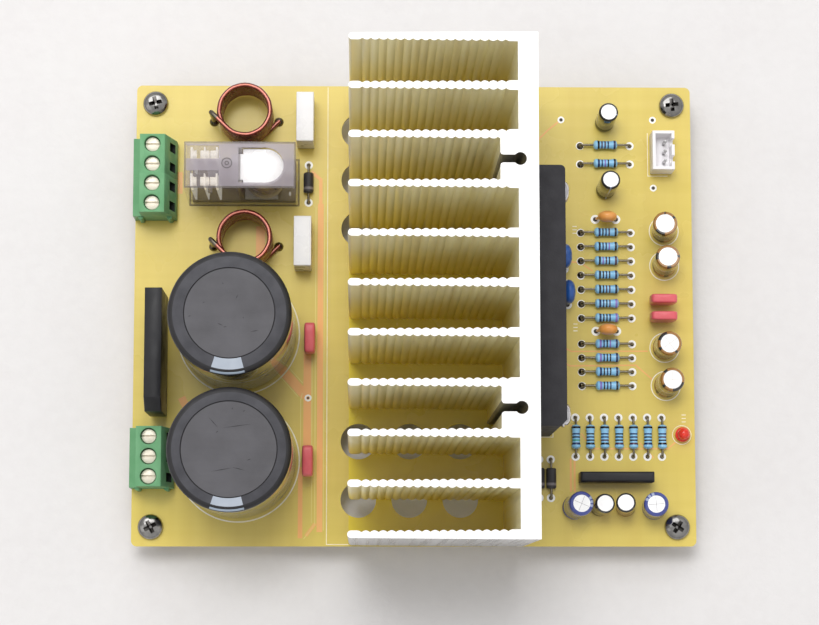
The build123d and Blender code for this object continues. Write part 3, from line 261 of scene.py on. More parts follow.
def slot_paint():
    """The faces between the fins: dull drawn aluminium with soft streaks from the die, brighter and yellower than
    the outer skin as a painted reflection of the yellow board, strongest low down.
    """
    paint = Paint("slot_aluminium", srgb(255, 251, 222), 0.4, 0.6)
    paint.patchy(srgb(255, 253, 236), 420, 0.8, (1, 1, 0.02))
    paint.patchy(srgb(244, 236, 206), 190, 0.5, (1, 1, 0.05))
    # Painted reflection of the yellow board on the fins' walls, strongest low down and fading upwards
    paint.mix(paint.lower(12 * MM, 56 * MM, 0.75), srgb(255, 236, 104))
    drawn = paint.noise(700, (1, 1, 0.02), 5.0)
    paint.rough(paint.span(drawn, 0.34, 0.58))
    return paint.bump(drawn, 0.04 * MM, 0.5).material


def sawn_paint():
    """The sawn ends of the extrusion: bright metal with fine saw lines."""
    paint = Paint("sawn_aluminium", srgb(255, 255, 255), 0.45, 0.3)
    sawn = paint.noise(700, (0.08, 1, 1), 4.0)
    paint.patchy(srgb(250, 250, 250), 700, 0.6, (0.08, 1, 1))
    paint.rough(paint.span(sawn, 0.4, 0.55))
    return paint.bump(sawn, 0.02 * MM, 0.5).material


def moulded_paint(name, color, light, roughness, grain=0.02 * MM):
    """Moulded plastic with a fine grain and a slight cloudiness."""
    paint = Paint(name, color, roughness)
    paint.patchy(light, 220, 0.5)
    paint.scuffed(roughness - 0.06, roughness + 0.08, 300)
    return paint.grained(2600, grain).material


def sleeve_paint(name, color, light, roughness=0.16):
    """Shrunk film, glossy, with faint ripples from shrinking."""
    paint = Paint(name, color, roughness, coat_weight=0.7, coat_roughness=0.06)
    paint.patchy(light, 160, 0.35)
    paint.scuffed(roughness - 0.05, roughness + 0.12, 240)
    return paint.grained(300, 0.03 * MM, (1, 1, 0.3), 0.5).material


def wire_paint(name="enamelled_wire", color=srgb(122, 42, 32), crest=srgb(212, 124, 104)):
    """Enamelled copper, dark red, with a painted pink highlight along its crest where it faces up."""
    paint = Paint(name, color, 0.24, 0.5, coat_weight=1.0, coat_roughness=0.1)
    paint.patchy(srgb(84, 24, 18), 240, 0.5)
    # Painted highlight: a paler colour where the wire's crest faces up
    paint.mix(paint.facing("Z", 0.95), crest)
    return paint.scuffed(0.2, 0.36, 500).material


def dipped_paint(name, color, light, roughness=0.28):
    """A dipped coating: glossy, slightly uneven."""
    paint = Paint(name, color, roughness, coat_weight=0.5, coat_roughness=0.1)
    paint.patchy(light, 300, 0.5)
    return paint.grained(260, 0.08 * MM, strength=0.5).material


def clear_paint():
    """The relay's clear cover, a little milky, with fine scratches."""
    paint = Paint("clear_cover", srgb(160, 152, 160), 0.1, specular_ior_level=0.6)
    paint.patchy(srgb(176, 167, 176), 90, 0.5)
    veil = paint.span(paint.facing("Z", 0.8), 0.13, 0.62, 0.0, 1.0)
    low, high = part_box("relay_cover")
    spots = [(paint.inside([(0, x * MM, (x + wide) * MM), (1, y * MM, (y + tall) * MM)]), share)
             for x, wide, y, tall, share in CLEAR_SPOTS]
    spots.append((paint.near((-38.0 * MM, 34.6 * MM, high[2]), 4.5 * MM), 0.2))
    for spot, share in spots:
        clear = paint.span(spot, 1.0, share, 0.0, 1.0)
        veil = paint.node("ShaderNodeMath", {0: veil, 1: clear}, operation="MULTIPLY").outputs[0]
    inner = [(axis, low[axis] + COVER_RIM, high[axis] - COVER_RIM) for axis in (0, 1)]
    sides = {0: paint.facing("Z", 0.8), 1: paint.inside(inner)}
    rim = paint.node("ShaderNodeMath", sides, operation="GREATER_THAN").outputs[0]
    paint.mix(rim, srgb(112, 106, 106))
    rim_veil = {0: veil, 1: paint.span(rim, 0.0, 0.7, 0.0, 1.0)}
    paint.veil(paint.node("ShaderNodeMath", rim_veil, operation="MAXIMUM").outputs[0])
    paint.scuffed(0.05, 0.2, 120)
    return paint.grained(900, 0.01 * MM).material


def lens_paint():
    """Tinted epoxy that lets light in."""
    paint = Paint("red_lens", srgb(250, 68, 52), 0.12, transmission_weight=0.3, ior=1.5)
    paint.shader.inputs["Subsurface Weight"].default_value = 0.3
    paint.shader.inputs["Subsurface Radius"].default_value = (2 * MM, 0.4 * MM, 0.3 * MM)
    return paint.patchy(srgb(246, 84, 60), 300, 0.4).material


def armature_paint():
    """The armature: bright plated iron with a painted glow that makes up for the cover's shade, its tail in painted
    shade of the hinge.
    """
    # Painted light: the armature glows a little, though it is no lamp, to make up for the cover's shade
    paint = Paint("relay_armature", srgb(255, 255, 255), 0.35, 0.2, emission_color=srgb(255, 255, 255), emission_strength=0.2)
    paint.patchy(srgb(250, 250, 250), 500, 0.5)
    # Painted shade of the hinge over the armature's tail
    paint.mix(paint.inside([(0, -60 * MM, ARMATURE_TAIL_X)]), srgb(132, 122, 122))
    return paint.scuffed(0.35, 0.5, 750).material


def contact_paint():
    """The relay's springs: bright at their tips with a painted glow that makes up for the cover's shade, in painted
    shade further down.
    """
    cream = srgb(255, 250, 236)
    # Painted light: the springs glow a little, though they are no lamp, to make up for the cover's shade
    paint = Paint("contact_metal", cream, 0.35, 0.4, emission_color=cream, emission_strength=0.34)
    paint.patchy(srgb(240, 228, 206), 500, 0.5)
    # Painted shade on the springs' lower part
    paint.mix(paint.inside([(2, 10 * MM, 29 * MM)]), srgb(40, 36, 28))
    return paint.scuffed(0.3, 0.45, 750).material


def block_paint(node):
    """Green moulding, in deep shade inside the wire chambers behind the windows."""
    low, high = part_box(node)
    paint = Paint(node + "_green", srgb(102, 156, 112), 0.45, specular_ior_level=0.2)
    paint.patchy(srgb(122, 172, 130), 220, 0.5)
    chamber = [(0, low[0] + 2.7 * MM, low[0] + 11 * MM), (1, low[1] + 1 * MM, high[1] - 0.3 * MM)]
    chamber.append((2, low[2], low[2] + 9.7 * MM))
    slope = paint.facing("X", 0.5)
    shade = {0: paint.inside(chamber), 1: slope}
    paint.mix(paint.node("ShaderNodeMath", shade, operation="GREATER_THAN").outputs[0], srgb(12, 22, 14))
    paint.scuffed(0.4, 0.55, 300)
    return paint.grained(2600, 0.02 * MM).material


def metal_paint(name, color, dark, low, high, scale=500, metallic=1.0):
    """Plated metal with a slightly uneven shine."""
    paint = Paint(name, color, low, metallic)
    paint.patchy(dark, scale, 0.5)
    paint.scuffed(low, high, scale * 1.5)
    return paint.grained(scale * 3, 0.01 * MM).material


def scored_paint(name, color, dark):
    """A cap's dark top disc: satin, with a few long faint scratches."""
    paint = Paint(name, color, 0.45)
    paint.patchy(dark, 120, 0.6)
    paint.patchy(srgb(110, 110, 116), 90, 0.08, (0.2, 3, 1))
    paint.scuffed(0.4, 0.55, 200)
    return paint.grained(1500, 0.03 * MM).material


LAMINATE = laminate_paint()
TRACK = track_paint()
GAP = gap_paint()
PRINT = print_paint()
PAD_TIN = metal_paint("pad_tin", srgb(250, 249, 244), srgb(236, 234, 226), 0.3, 0.45, metallic=0.3)
SOLDER = tin_paint("solder", 0.15, 0.35, srgb(190, 190, 190))
BLOB = tin_paint("solder_blob", 0.12, 0.3, srgb(122, 114, 102), srgb(76, 70, 62))
LEAD_TIN = tin_paint("lead_tin", 0.2, 0.38, srgb(150, 142, 124), srgb(106, 98, 80))
HOLE_DARK = moulded_paint("hole_shade", srgb(58, 50, 42), srgb(84, 74, 60), 0.6)
ALUMINIUM = skin_paint()
# A darker copy of the aluminium: painted shade for the heatsink's screw channels
CHANNEL_SHADE = tin_paint("shaded_screw_channel", 0.4, 0.6, srgb(190, 188, 182), srgb(150, 148, 142))
SLOT_WALL = slot_paint()
SAWN_END = sawn_paint()
SCREW = metal_paint("screw_steel", srgb(166, 164, 162), srgb(98, 96, 95), 0.1, 0.22)
BRIGHT_SCREW = metal_paint("bright_screw", srgb(226, 225, 228), srgb(186, 184, 188), 0.14, 0.28)
CLAMP = metal_paint("clamp_steel", srgb(244, 236, 220), srgb(224, 212, 194), 0.35, 0.5, metallic=0.5)
CAGE = metal_paint("cage_steel", srgb(58, 62, 56), srgb(38, 40, 36), 0.3, 0.45)
BRASS = metal_paint("standoff_metal", srgb(206, 196, 172), srgb(160, 146, 118), 0.2, 0.35)
CAN_METAL = metal_paint("can_top", srgb(254, 254, 254), srgb(240, 240, 242), 0.3, 0.45, metallic=0.3)
SCORE = moulded_paint("can_score", srgb(176, 174, 178), srgb(150, 148, 152), 0.5)
FAINT_SCORE = moulded_paint("can_faint_score", srgb(224, 220, 216), srgb(206, 202, 198), 0.5)
CONTACT = contact_paint()
IRON = metal_paint("relay_iron", srgb(150, 146, 138), srgb(112, 106, 96), 0.3, 0.45)
ARMATURE = armature_paint()
CARD = moulded_paint("relay_card", srgb(140, 134, 134), srgb(156, 150, 150), 0.4)
BASE = moulded_paint("relay_base", srgb(104, 92, 66), srgb(128, 114, 84), 0.45)
BOBBIN = moulded_paint("relay_bobbin", srgb(176, 160, 120), srgb(196, 180, 140), 0.4)
MARK = moulded_paint("moulding_mark", srgb(118, 112, 112), srgb(140, 134, 134), 0.35)
COVER = clear_paint()
SWIRL = moulded_paint("moulding_swirl", srgb(64, 58, 60), srgb(84, 78, 80), 0.4)
# Both wires carry a painted highlight along their crests
WIRE = wire_paint()
FINE_WIRE = wire_paint("fine_wire", srgb(132, 70, 42), srgb(150, 84, 52))
BLACK = moulded_paint("black_moulding", srgb(26, 26, 29), srgb(37, 37, 41), 0.42, 0.03 * MM)
MODULE = moulded_paint("module_black", srgb(42, 41, 45), srgb(52, 51, 56), 0.6, 0.04 * MM)
DIODE = moulded_paint("diode_black", srgb(54, 52, 54), srgb(66, 63, 65), 0.42)
CAN_SLEEVE = sleeve_paint("can_sleeve", srgb(20, 21, 26), srgb(36, 38, 46))
CAN_RING = moulded_paint("can_shoulder", srgb(50, 50, 56), srgb(76, 76, 82), 0.42)
CAN_DISC = scored_paint("can_disc", srgb(73, 72, 76), srgb(87, 86, 91))
PATCH = moulded_paint("can_patch", srgb(166, 174, 186), srgb(146, 156, 170), 0.45)
PATCH_RIM = moulded_paint("can_patch_rim", srgb(158, 172, 188), srgb(128, 144, 162), 0.35)
NICK = moulded_paint("can_nick", srgb(34, 33, 36), srgb(24, 23, 26), 0.5)
GOLD = sleeve_paint("gold_sleeve", srgb(150, 104, 44), srgb(178, 132, 62))
STRIPE = sleeve_paint("dark_stripe", srgb(22, 19, 17), srgb(44, 38, 32))
BROWN = sleeve_paint("brown_sleeve", srgb(122, 66, 40), srgb(146, 86, 54))
BLUE = sleeve_paint("blue_sleeve", srgb(50, 60, 132), srgb(76, 90, 158))
PALE_STRIPE = sleeve_paint("pale_stripe", srgb(150, 160, 190), srgb(176, 186, 208))
BLACK_SLEEVE = sleeve_paint("black_sleeve", srgb(24, 22, 20), srgb(48, 44, 36))
WHITE_BOX = moulded_paint("white_box", srgb(228, 227, 229), srgb(220, 219, 222), 0.3)
RED_DIP = dipped_paint("red_dip", srgb(214, 88, 98), srgb(224, 110, 116), 0.5)
ORANGE_DIP = dipped_paint("orange_dip", srgb(226, 150, 70), srgb(238, 172, 98))
BLUE_DIP = dipped_paint("blue_dip", srgb(30, 82, 158), srgb(48, 104, 186))
LACQUER = dipped_paint("resistor_lacquer", srgb(128, 188, 228), srgb(158, 210, 240), 0.2)
BANDS = [
    dipped_paint(f"band_{name}", color, light, 0.24)
    for name, color, light in (
        ("navy", srgb(22, 40, 84), srgb(36, 56, 104)),
        ("black", srgb(14, 18, 30), srgb(28, 34, 50)),
        ("brown", srgb(66, 40, 62), srgb(88, 56, 76)),
        ("violet", srgb(126, 108, 186), srgb(146, 128, 200)),
        ("green", srgb(60, 150, 130), srgb(80, 168, 148)),
        ("grey", srgb(150, 158, 184), srgb(172, 180, 204)),
    )
]
LENS = lens_paint()
NYLON = moulded_paint("connector_nylon", srgb(246, 244, 246), srgb(236, 232, 234), 0.4)


class Form:
    """Points and faces collected for one piece, with a material number for each face."""

    def __init__(self):
        self.points = []
        self.faces = []
        self.looks = []

    def add(self, shape, look=0, place=None):
        """Take in a shape, given as its points and faces."""
        points, faces = shape
        start = len(self.points)
        if place is not None:
            points = [place @ Vector(point) for point in points]
        self.points += [tuple(point) for point in points]
        self.faces += [tuple(start + corner for corner in face) for face in faces]
        self.looks += look if isinstance(look, list) else [look] * len(faces)

    def piece(self, name, materials, body="board", replaces=(), slot=None):
        """Make the object, ride it on its body and hide the CAD parts that it replaces."""
        mesh = bpy.data.meshes.new(name)
        mesh.from_pydata(self.points, [], self.faces)
        for material in materials:
            mesh.materials.append(material)
        mesh.polygons.foreach_set("material_index", self.looks)
        tidy = bmesh.new()
        tidy.from_mesh(mesh)
        bmesh.ops.recalc_face_normals(tidy, faces=tidy.faces)
        tidy.to_mesh(mesh)
        tidy.free()
        mesh.polygons.foreach_set("use_smooth", [True] * len(mesh.polygons))
        mesh.set_sharp_from_angle(angle=SHARP_ANGLE)
        piece = bpy.data.objects.new(name, mesh)
        bpy.context.scene.collection.objects.link(piece)
        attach(piece, body)
        if replaces:
            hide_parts(*replaces)
        return piece


def at(x, y, z, turn=0.0):
    """A place in the row frame, turned about Z by an angle in radians."""
    return Matrix.Translation((x, y, z)) @ Matrix.Rotation(turn, 4, "Z")


def turned(profile, steps=32, loop=False):
    """A profile of (radius, height) pairs turned about Z; loop joins its last pair to its first."""
    points, rings, faces = [], [], []
    for radius, height in profile:
        if radius == 0:
            rings.append([len(points)] * steps)
            points.append((0, 0, height))
            continue
        rings.append(list(range(len(points), len(points) + steps)))
        for step in range(steps):
            angle = 2 * math.pi * step / steps
            points.append((radius * math.cos(angle), radius * math.sin(angle), height))
    pairs = list(zip(rings, rings[1:]))
    if loop:
        pairs.append((rings[-1], rings[0]))
    for low, high in pairs:
        for step in range(steps):
            after = (step + 1) % steps
            face = [low[step], low[after], high[after], high[step]]
            faces.append(tuple(dict.fromkeys(face)))
    return points, faces


def tube(path, radius, steps=8, shrink=None):
    """A round wire along a path, closed at both ends."""
    path = [Vector(point) for point in path]
    points, faces = [], []
    side = None
    for index, spot in enumerate(path):
        before = path[max(index - 1, 0)]
        after = path[min(index + 1, len(path) - 1)]
        along = (after - before).normalized()
        if side is None:
            side = along.orthogonal().normalized()
        side = (side - along * side.dot(along)).normalized()
        up = along.cross(side)
        size = radius if shrink is None else radius * shrink(index / (len(path) - 1))
        for step in range(steps):
            angle = 2 * math.pi * step / steps
            points.append(spot + side * (size * math.cos(angle)) + up * (size * math.sin(angle)))
    for index in range(len(path) - 1):
        low, high = index * steps, (index + 1) * steps
        for step in range(steps):
            after = (step + 1) % steps
            faces.append((low + step, low + after, high + after, high + step))
    faces.append(tuple(range(steps))[::-1])
    faces.append(tuple(range(len(points) - steps, len(points))))
    return points, faces


def prism(outline, low, high):
    """A closed outline of (x, y) pairs raised between two heights."""
    count = len(outline)
    points = [(x, y, low) for x, y in outline] + [(x, y, high) for x, y in outline]
    faces = [(i, (i + 1) % count, count + (i + 1) % count, count + i) for i in range(count)]
    faces.append(tuple(range(count))[::-1])
    faces.append(tuple(range(count, 2 * count)))
    return points, faces


def stroke(path, width, thick, low=BOARD_TOP_Z):
    """A flat line of constant width along a path of (x, y) pairs in millimetres."""
    path = [Vector((x * MM, y * MM)) for x, y in path]
    left, right = [], []
    for index, spot in enumerate(path):
        before = (spot - path[index - 1]).normalized() if index else None
        after = (path[index + 1] - spot).normalized() if index + 1 < len(path) else None
        along = before if after is None else after if before is None else (before + after).normalized()
        side = Vector((-along.y, along.x))
        lean = abs(side.dot(Vector((-(after or before).y, (after or before).x))))
        reach = width * MM / 2 / max(lean, 0.4)
        left.append(tuple(spot + side * reach))
        right.append(tuple(spot - side * reach))
    return prism(left + right[::-1], low, low + thick)


def ring(inner, outer, thick, steps=28):
    """A flat ring that lies at z = 0."""
    return turned([(inner, 0), (outer, 0), (outer, thick), (inner, thick)], steps, loop=True)


def islands(node):
    """The points of each separate solid of a CAD node, in order of their lowest x, then y."""
    mesh = bmesh.new()
    mesh.from_mesh(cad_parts[node].data)
    bmesh.ops.remove_doubles(mesh, verts=mesh.verts, dist=1e-6)
    unseen = set(mesh.verts)
    found = []
    for seed in mesh.verts:
        if seed not in unseen:
            continue
        unseen.remove(seed)
        queue = [seed]
        island = []
        while queue:
            vert = queue.pop()
            island.append(vert.co.copy())
            for edge in vert.link_edges:
                other = edge.other_vert(vert)
                if other in unseen:
                    unseen.remove(other)
                    queue.append(other)
        found.append(island)
    mesh.free()
    return sorted(found, key=lambda island: [round(min(co[axis] for co in island), 4) for axis in (0, 1)])


def solids(node):
    """Low and high corners of each separate solid of a CAD node."""
    return [
        tuple(Vector(pick(co[axis] for co in island) for axis in range(3)) for pick in (min, max))
        for island in islands(node)
    ]


def cans(node):
    """Foot, axis, radius and height of each standing cylinder of a CAD node, which may lean."""
    found = []
    for island in islands(node):
        middle = (min(co.z for co in island) + max(co.z for co in island)) / 2
        halves = ([co for co in island if co.z < middle], [co for co in island if co.z > middle])
        low, high = (sum(half, Vector()) / len(half) for half in halves)
        axis = (high - low).normalized()
        heights = [axis.dot(co - low) for co in island]
        radius = max((co - low - axis * axis.dot(co - low)).length for co in island)
        found.append((low + axis * min(heights), axis, radius, max(heights) - min(heights)))
    return found


def dress(node, material, edge=0.0, segments=2):
    """Give a CAD node its material, smooth its round walls and soften its edges by a bevel."""
    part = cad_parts[node]
    part.data.materials.clear()
    part.data.materials.append(material)
    part.data.polygons.foreach_set("material_index", [0] * len(part.data.polygons))
    part.data.polygons.foreach_set("use_smooth", [True] * len(part.data.polygons))
    weld = part.modifiers.new("weld", "WELD")
    weld.merge_threshold = 1e-6
    if not edge:
        split = part.modifiers.new("sharp", "EDGE_SPLIT")
        split.split_angle = SHARP_ANGLE
    else:
        bevel = part.modifiers.new("edge", "BEVEL")
        bevel.width = edge
        bevel.segments = segments
        bevel.limit_method = "ANGLE"
        bevel.angle_limit = SHARP_ANGLE
        bevel.harden_normals = True
    return part


def dress_all():
    """Materials and softened edges of the CAD nodes whose shape stays."""
    dress("circuit_board", LAMINATE)
    dress("standoffs", BRASS, 0.15 * MM)
    for node in ("module_case", "bridge_rectifier"):
        dress(node, MODULE if node == "module_case" else BLACK, 0.25 * MM, 3)
    dress("row_circuit", BLACK, 0.2 * MM)
    dress("module_plate", ALUMINIUM)
    dress("module_washers", BRIGHT_SCREW, 0.1 * MM)
    for node in ("module_pins", "terminal_pins"):
        dress(node, LEAD_TIN, 0.05 * MM)
    dress("signal_pins", SOLDER, 0.05 * MM)
    for node in ("speaker_terminal_1", "speaker_terminal_2", "supply_terminal"):
        dress(node, block_paint(node), 0.12 * MM)
    for number in range(1, 8):
        dress(f"clamp_screw_{number}", CLAMP, 0.1 * MM)
        dress(f"clamp_cage_{number}", CAGE, 0.08 * MM)
    for number in (1, 2):
        dress(f"white_capacitor_{number}", WHITE_BOX, 0.3 * MM, 3)
    dress("signal_connector", NYLON, 0.12 * MM)
    dress("relay_base", BASE, 0.1 * MM)
    dress("relay_cover", COVER, 0.25 * MM, 3)
    dress("relay_bobbin", BOBBIN, 0.08 * MM)
    dress("relay_winding", FINE_WIRE)
    dress("relay_yoke", IRON, 0.1 * MM)
    dress("relay_armature", ARMATURE, 0.08 * MM)
    dress("relay_card", CARD, 0.08 * MM)
    dress("relay_moving_springs", CONTACT, 0.04 * MM)
    dress("relay_fixed_contacts", CONTACT, 0.04 * MM)


# The heatsink's section, as in the model, in millimetres
FIN_COUNT = 11
SINK_BASE_THICK = 4.8
FIN_ROOT = 2.3
FIN_TIP = 1.7
RIPPLE_PITCH = 2.0
RIPPLE_DEPTH = 0.42
RIPPLE_FROM_ROOT = 1.9
RIPPLE_FROM_TIP = 2.0
RIPPLE_STEPS = 8
BOSS_SLOTS = (2, 7)
BOSS_DEPTH = 4.3
KEYHOLE_R = 1.55
KEYHOLE_NECK = 1.9
KEYHOLE_FROM_FACE = 4.4
KEYHOLE_MOUTH_R = 0.7


def arc(x, y, radius, start, end, steps):
    """Points round a centre, between two angles in degrees, both ends included."""
    angles = [math.radians(start + (end - start) * step / steps) for step in range(steps + 1)]
    return [(x + radius * math.cos(a), y + radius * math.sin(a)) for a in angles]


def fin_flank(centre_y, side, rippled, length, inner_x, stop):
    """One side of a fin from the slot's floor to the tip, past the depth that a boss fills."""
    root, tip = FIN_ROOT / 2, FIN_TIP / 2
    marks = [0.0]
    if rippled:
        count = int((length - RIPPLE_FROM_ROOT - RIPPLE_FROM_TIP) / RIPPLE_PITCH)
        step = RIPPLE_PITCH / RIPPLE_STEPS
        marks += [RIPPLE_FROM_ROOT + index * step for index in range(count * RIPPLE_STEPS + 1)]
    points = []
    for mark in [stop] + [mark for mark in marks if mark > stop] + [length - tip]:
        half = root + (tip - root) * mark / length
        share = (mark - RIPPLE_FROM_ROOT) / RIPPLE_PITCH
        inside = rippled and RIPPLE_FROM_ROOT <= mark < length - RIPPLE_FROM_TIP - 1e-6
        if inside:
            half -= RIPPLE_DEPTH * (1 - abs(math.cos(math.pi * share)))
        points.append((inner_x - mark, centre_y + side * half))
    return points


def keyhole(centre_y, mouth_x, centre_x):
    """The rounded mouth, neck and screw channel in a boss, from +Y to -Y."""
    neck, corner = KEYHOLE_NECK / 2, KEYHOLE_MOUTH_R
    turn = math.degrees(math.asin(neck / KEYHOLE_R))
    upper = arc(mouth_x + corner, centre_y + neck + corner, corner, 180, 270, 4)
    bore = arc(centre_x, centre_y, KEYHOLE_R, 180 - turn, turn - 180, 20)
    lower = arc(mouth_x + corner, centre_y - neck - corner, corner, 90, 180, 4)
    return upper + bore + lower


def sink_outline(low, high):
    """The whole section, from the +Y corner of the flat face round to its -Y corner."""
    face_x, tip_x = high[0] / MM, low[0] / MM
    inner_x = face_x - SINK_BASE_THICK
    length = inner_x - tip_x
    pitch = ((high[1] - low[1]) / MM - FIN_ROOT) / (FIN_COUNT - 1)
    outline = [(face_x, high[1] / MM)]
    for index in range(FIN_COUNT):
        centre = high[1] / MM - FIN_ROOT / 2 - index * pitch
        above, below = (BOSS_DEPTH if slot in BOSS_SLOTS else 0.0 for slot in (index - 1, index))
        outline += fin_flank(centre, 1, index > 0, length, inner_x, above)
        outline += arc(tip_x + FIN_TIP / 2, centre, FIN_TIP / 2, 100, 260, 6)
        outline += fin_flank(centre, -1, index < FIN_COUNT - 1, length, inner_x, below)[::-1]
        if index in BOSS_SLOTS:
            mouth_x = inner_x - BOSS_DEPTH
            outline += keyhole(centre - pitch / 2, mouth_x, face_x - KEYHOLE_FROM_FACE)
    outline.append((face_x, low[1] / MM))
    return [(x * MM, y * MM) for x, y in outline]


def heatsink():
    """The extrusion with its ripples fully rounded: outer skin, duller slots with a painted yellow reflection,
    screw channels in painted shade and sawn ends.
    """
    low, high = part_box("heatsink")
    outline = sink_outline(low, high)
    outer_y = (high[1] - low[1]) / 2 - FIN_ROOT / 2 * MM
    middle_y = (high[1] + low[1]) / 2
    inner_x = high[0] - 1.5 * MM
    pitch = 2 * outer_y / (FIN_COUNT - 1)
    channels = [middle_y + outer_y - (slot + 0.5) * pitch for slot in BOSS_SLOTS]
    looks = []
    for start, end in zip(outline, outline[1:] + outline[:1]):
        x, y = (start[0] + end[0]) / 2, (start[1] + end[1]) / 2
        walled = x < inner_x and abs(y - middle_y) < outer_y
        deep = min(abs(y - channel) for channel in channels) < KEYHOLE_R * MM
        # The screw channels take the painted shade; the slot faces take the painted yellow reflection
        looks.append(3 if deep else 1 if walled else 0)
    form = Form()
    form.add(prism(outline, low[2], high[2]), looks + [2, 2])
    materials = [ALUMINIUM, SLOT_WALL, SAWN_END, CHANNEL_SHADE]
    form.piece("heatsink_extrusion", materials, replaces=["heatsink"], slot="extruded_aluminium")


def cross_screw(radius, height, length, shank):
    """A domed pan head with a tapered cross recess, its underside at z = 0, and its shank."""
    flat = 0.3 * height
    curve = [math.radians(angle) for angle in range(0, 91, 10)]
    dome = [(radius * math.cos(a) ** 0.7, flat + (height - flat) * math.sin(a)) for a in curve[:-1]]
    profile = [(0, -length), (shank, -length), (shank, 0), (radius, 0)] + dome + [(0, height)]
    head = Form()
    head.add(turned(profile, 36))
    cutter = Form()
    for turn in (0, math.pi / 2):
        reach, wide, narrow = 0.62 * radius, 0.18 * radius, 0.06 * radius
        top, foot = height * 1.2, height * -0.1
        points = [(sx * reach, sy * wide, top) for sx, sy in ((-1, -1), (1, -1), (1, 1), (-1, 1))]
        points += [(x * 0.15, y / wide * narrow, foot) for x, y, _ in points]
        faces = [(0, 1, 2, 3), (7, 6, 5, 4)] + [(i, (i + 1) % 4 + 0, (i + 1) % 4 + 4, i + 4) for i in range(4)]
        cutter.add((points, faces), 0, at(0, 0, 0, turn))
    return carved(head, cutter)


def carved(body, cutter):
    """Points and faces of a form less another form."""
    objects = []
    for form in (body, cutter):
        mesh = bpy.data.meshes.new("carving")
        mesh.from_pydata([tuple(point) for point in form.points], [], form.faces)
        clean = bmesh.new()
        clean.from_mesh(mesh)
        bmesh.ops.recalc_face_normals(clean, faces=clean.faces)
        clean.to_mesh(mesh)
        clean.free()
        made = bpy.data.objects.new("carving", mesh)
        bpy.context.scene.collection.objects.link(made)
        objects.append(made)
    cut = objects[0].modifiers.new("cut", "BOOLEAN")
    cut.operation = "DIFFERENCE"
    cut.solver = "EXACT"
    cut.use_self = True
    cut.object = objects[1]
    view = bpy.context.evaluated_depsgraph_get()
    result = objects[0].evaluated_get(view).to_mesh()
    points = [tuple(vertex.co) for vertex in result.vertices]
    faces = [tuple(face.vertices) for face in result.polygons]
    for made in objects:
        mesh = made.data
        bpy.data.objects.remove(made)
        bpy.data.meshes.remove(mesh)
    return points, faces


def screws():
    """The cross-recess screws: at the corners, under the heatsink and on the module."""
    shank = 1.45 * MM
    head = cross_screw(3.3 * MM, 2.1 * MM, 5.0 * MM, shank)
    form = Form()
    for low, high in solids("board_screws"):
        middle = (low + high) / 2
        form.add(head, 0, at(middle.x, middle.y, BOARD_TOP_Z, random.uniform(0, 1.5)))
    form.piece("corner_screws", [SCREW], replaces=["board_screws"], slot="screw_steel")
    head = cross_screw(3.1 * MM, 2.0 * MM, 9.6 * MM, shank)
    form = Form()
    for low, high in solids("heatsink_screws"):
        middle = (low + high) / 2
        place = at(middle.x, middle.y, BOARD_LOW_Z, 0.5) @ Matrix.Rotation(math.pi, 4, "X")
        form.add(head, 0, place)
    form.piece("heatsink_screw_pair", [SCREW], replaces=["heatsink_screws"], slot="screw_steel")
    form = Form()
    for low, high in solids("module_screws"):
        head_h = 1.7 * MM
        length = high.x - low.x - head_h
        head = cross_screw(2.7 * MM, head_h, length, shank)
        middle = (low + high) / 2
        turn = Matrix.Rotation(math.pi / 2, 4, "Y") @ Matrix.Rotation(random.uniform(0, 1.5), 4, "Z")
        form.add(head, 0, Matrix.Translation((high.x - head_h, middle.y, middle.z)) @ turn)
    form.piece("module_screw_pair", [BRIGHT_SCREW], replaces=["module_screws"], slot="screw_steel")


def axial_parts(node):
    """Centre, long axis and half length of each lying body, with its two pads."""
    leads = solids("component_leads")
    parts = []
    for low, high in solids(node):
        centre = (low + high) / 2
        size = high - low
        axis = 0 if size.x > size.y else 1
        other = 1 - axis
        pads = []
        for lead_low, lead_high in leads:
            middle = (lead_low + lead_high) / 2
            near = abs(middle[other] - centre[other]) < 0.5 * MM
            if near and abs(middle[axis] - centre[axis]) < 9 * MM:
                far = lead_high if middle[axis] > centre[axis] else lead_low
                inset = LEAD_R if middle[axis] > centre[axis] else -LEAD_R
                pad = centre.copy()
                pad[axis] = far[axis] - inset
                pads.append(pad)
        parts.append((centre, axis, size[axis] / 2, pads))
    return parts


def lying_turn(axis):
    """Turn a form made along Z so that it lies along X or Y."""
    if axis == 0:
        return Matrix.Rotation(math.pi / 2, 4, "Y")
    return Matrix.Rotation(-math.pi / 2, 4, "X")


def bent_wire(start, pad, foot):
    """Path of a lead that leaves level, bends over its pad and goes down."""
    start, pad = Vector(start), Vector(pad)
    flat = Vector((pad.x - start.x, pad.y - start.y, 0)).normalized()
    corner = Vector((pad.x, pad.y, start.z))
    bend = min(LEAD_BEND, (corner - start).length * 0.6, (start.z - foot) * 0.8)
    path = [start, (start + corner) / 2 - flat * bend / 2]
    for step in range(7):
        angle = math.pi / 2 * step / 6
        path.append(corner - flat * bend * (1 - math.sin(angle)) - Vector((0, 0, bend * (1 - math.cos(angle)))))
    path.append(Vector((pad.x, pad.y, foot)))
    return path


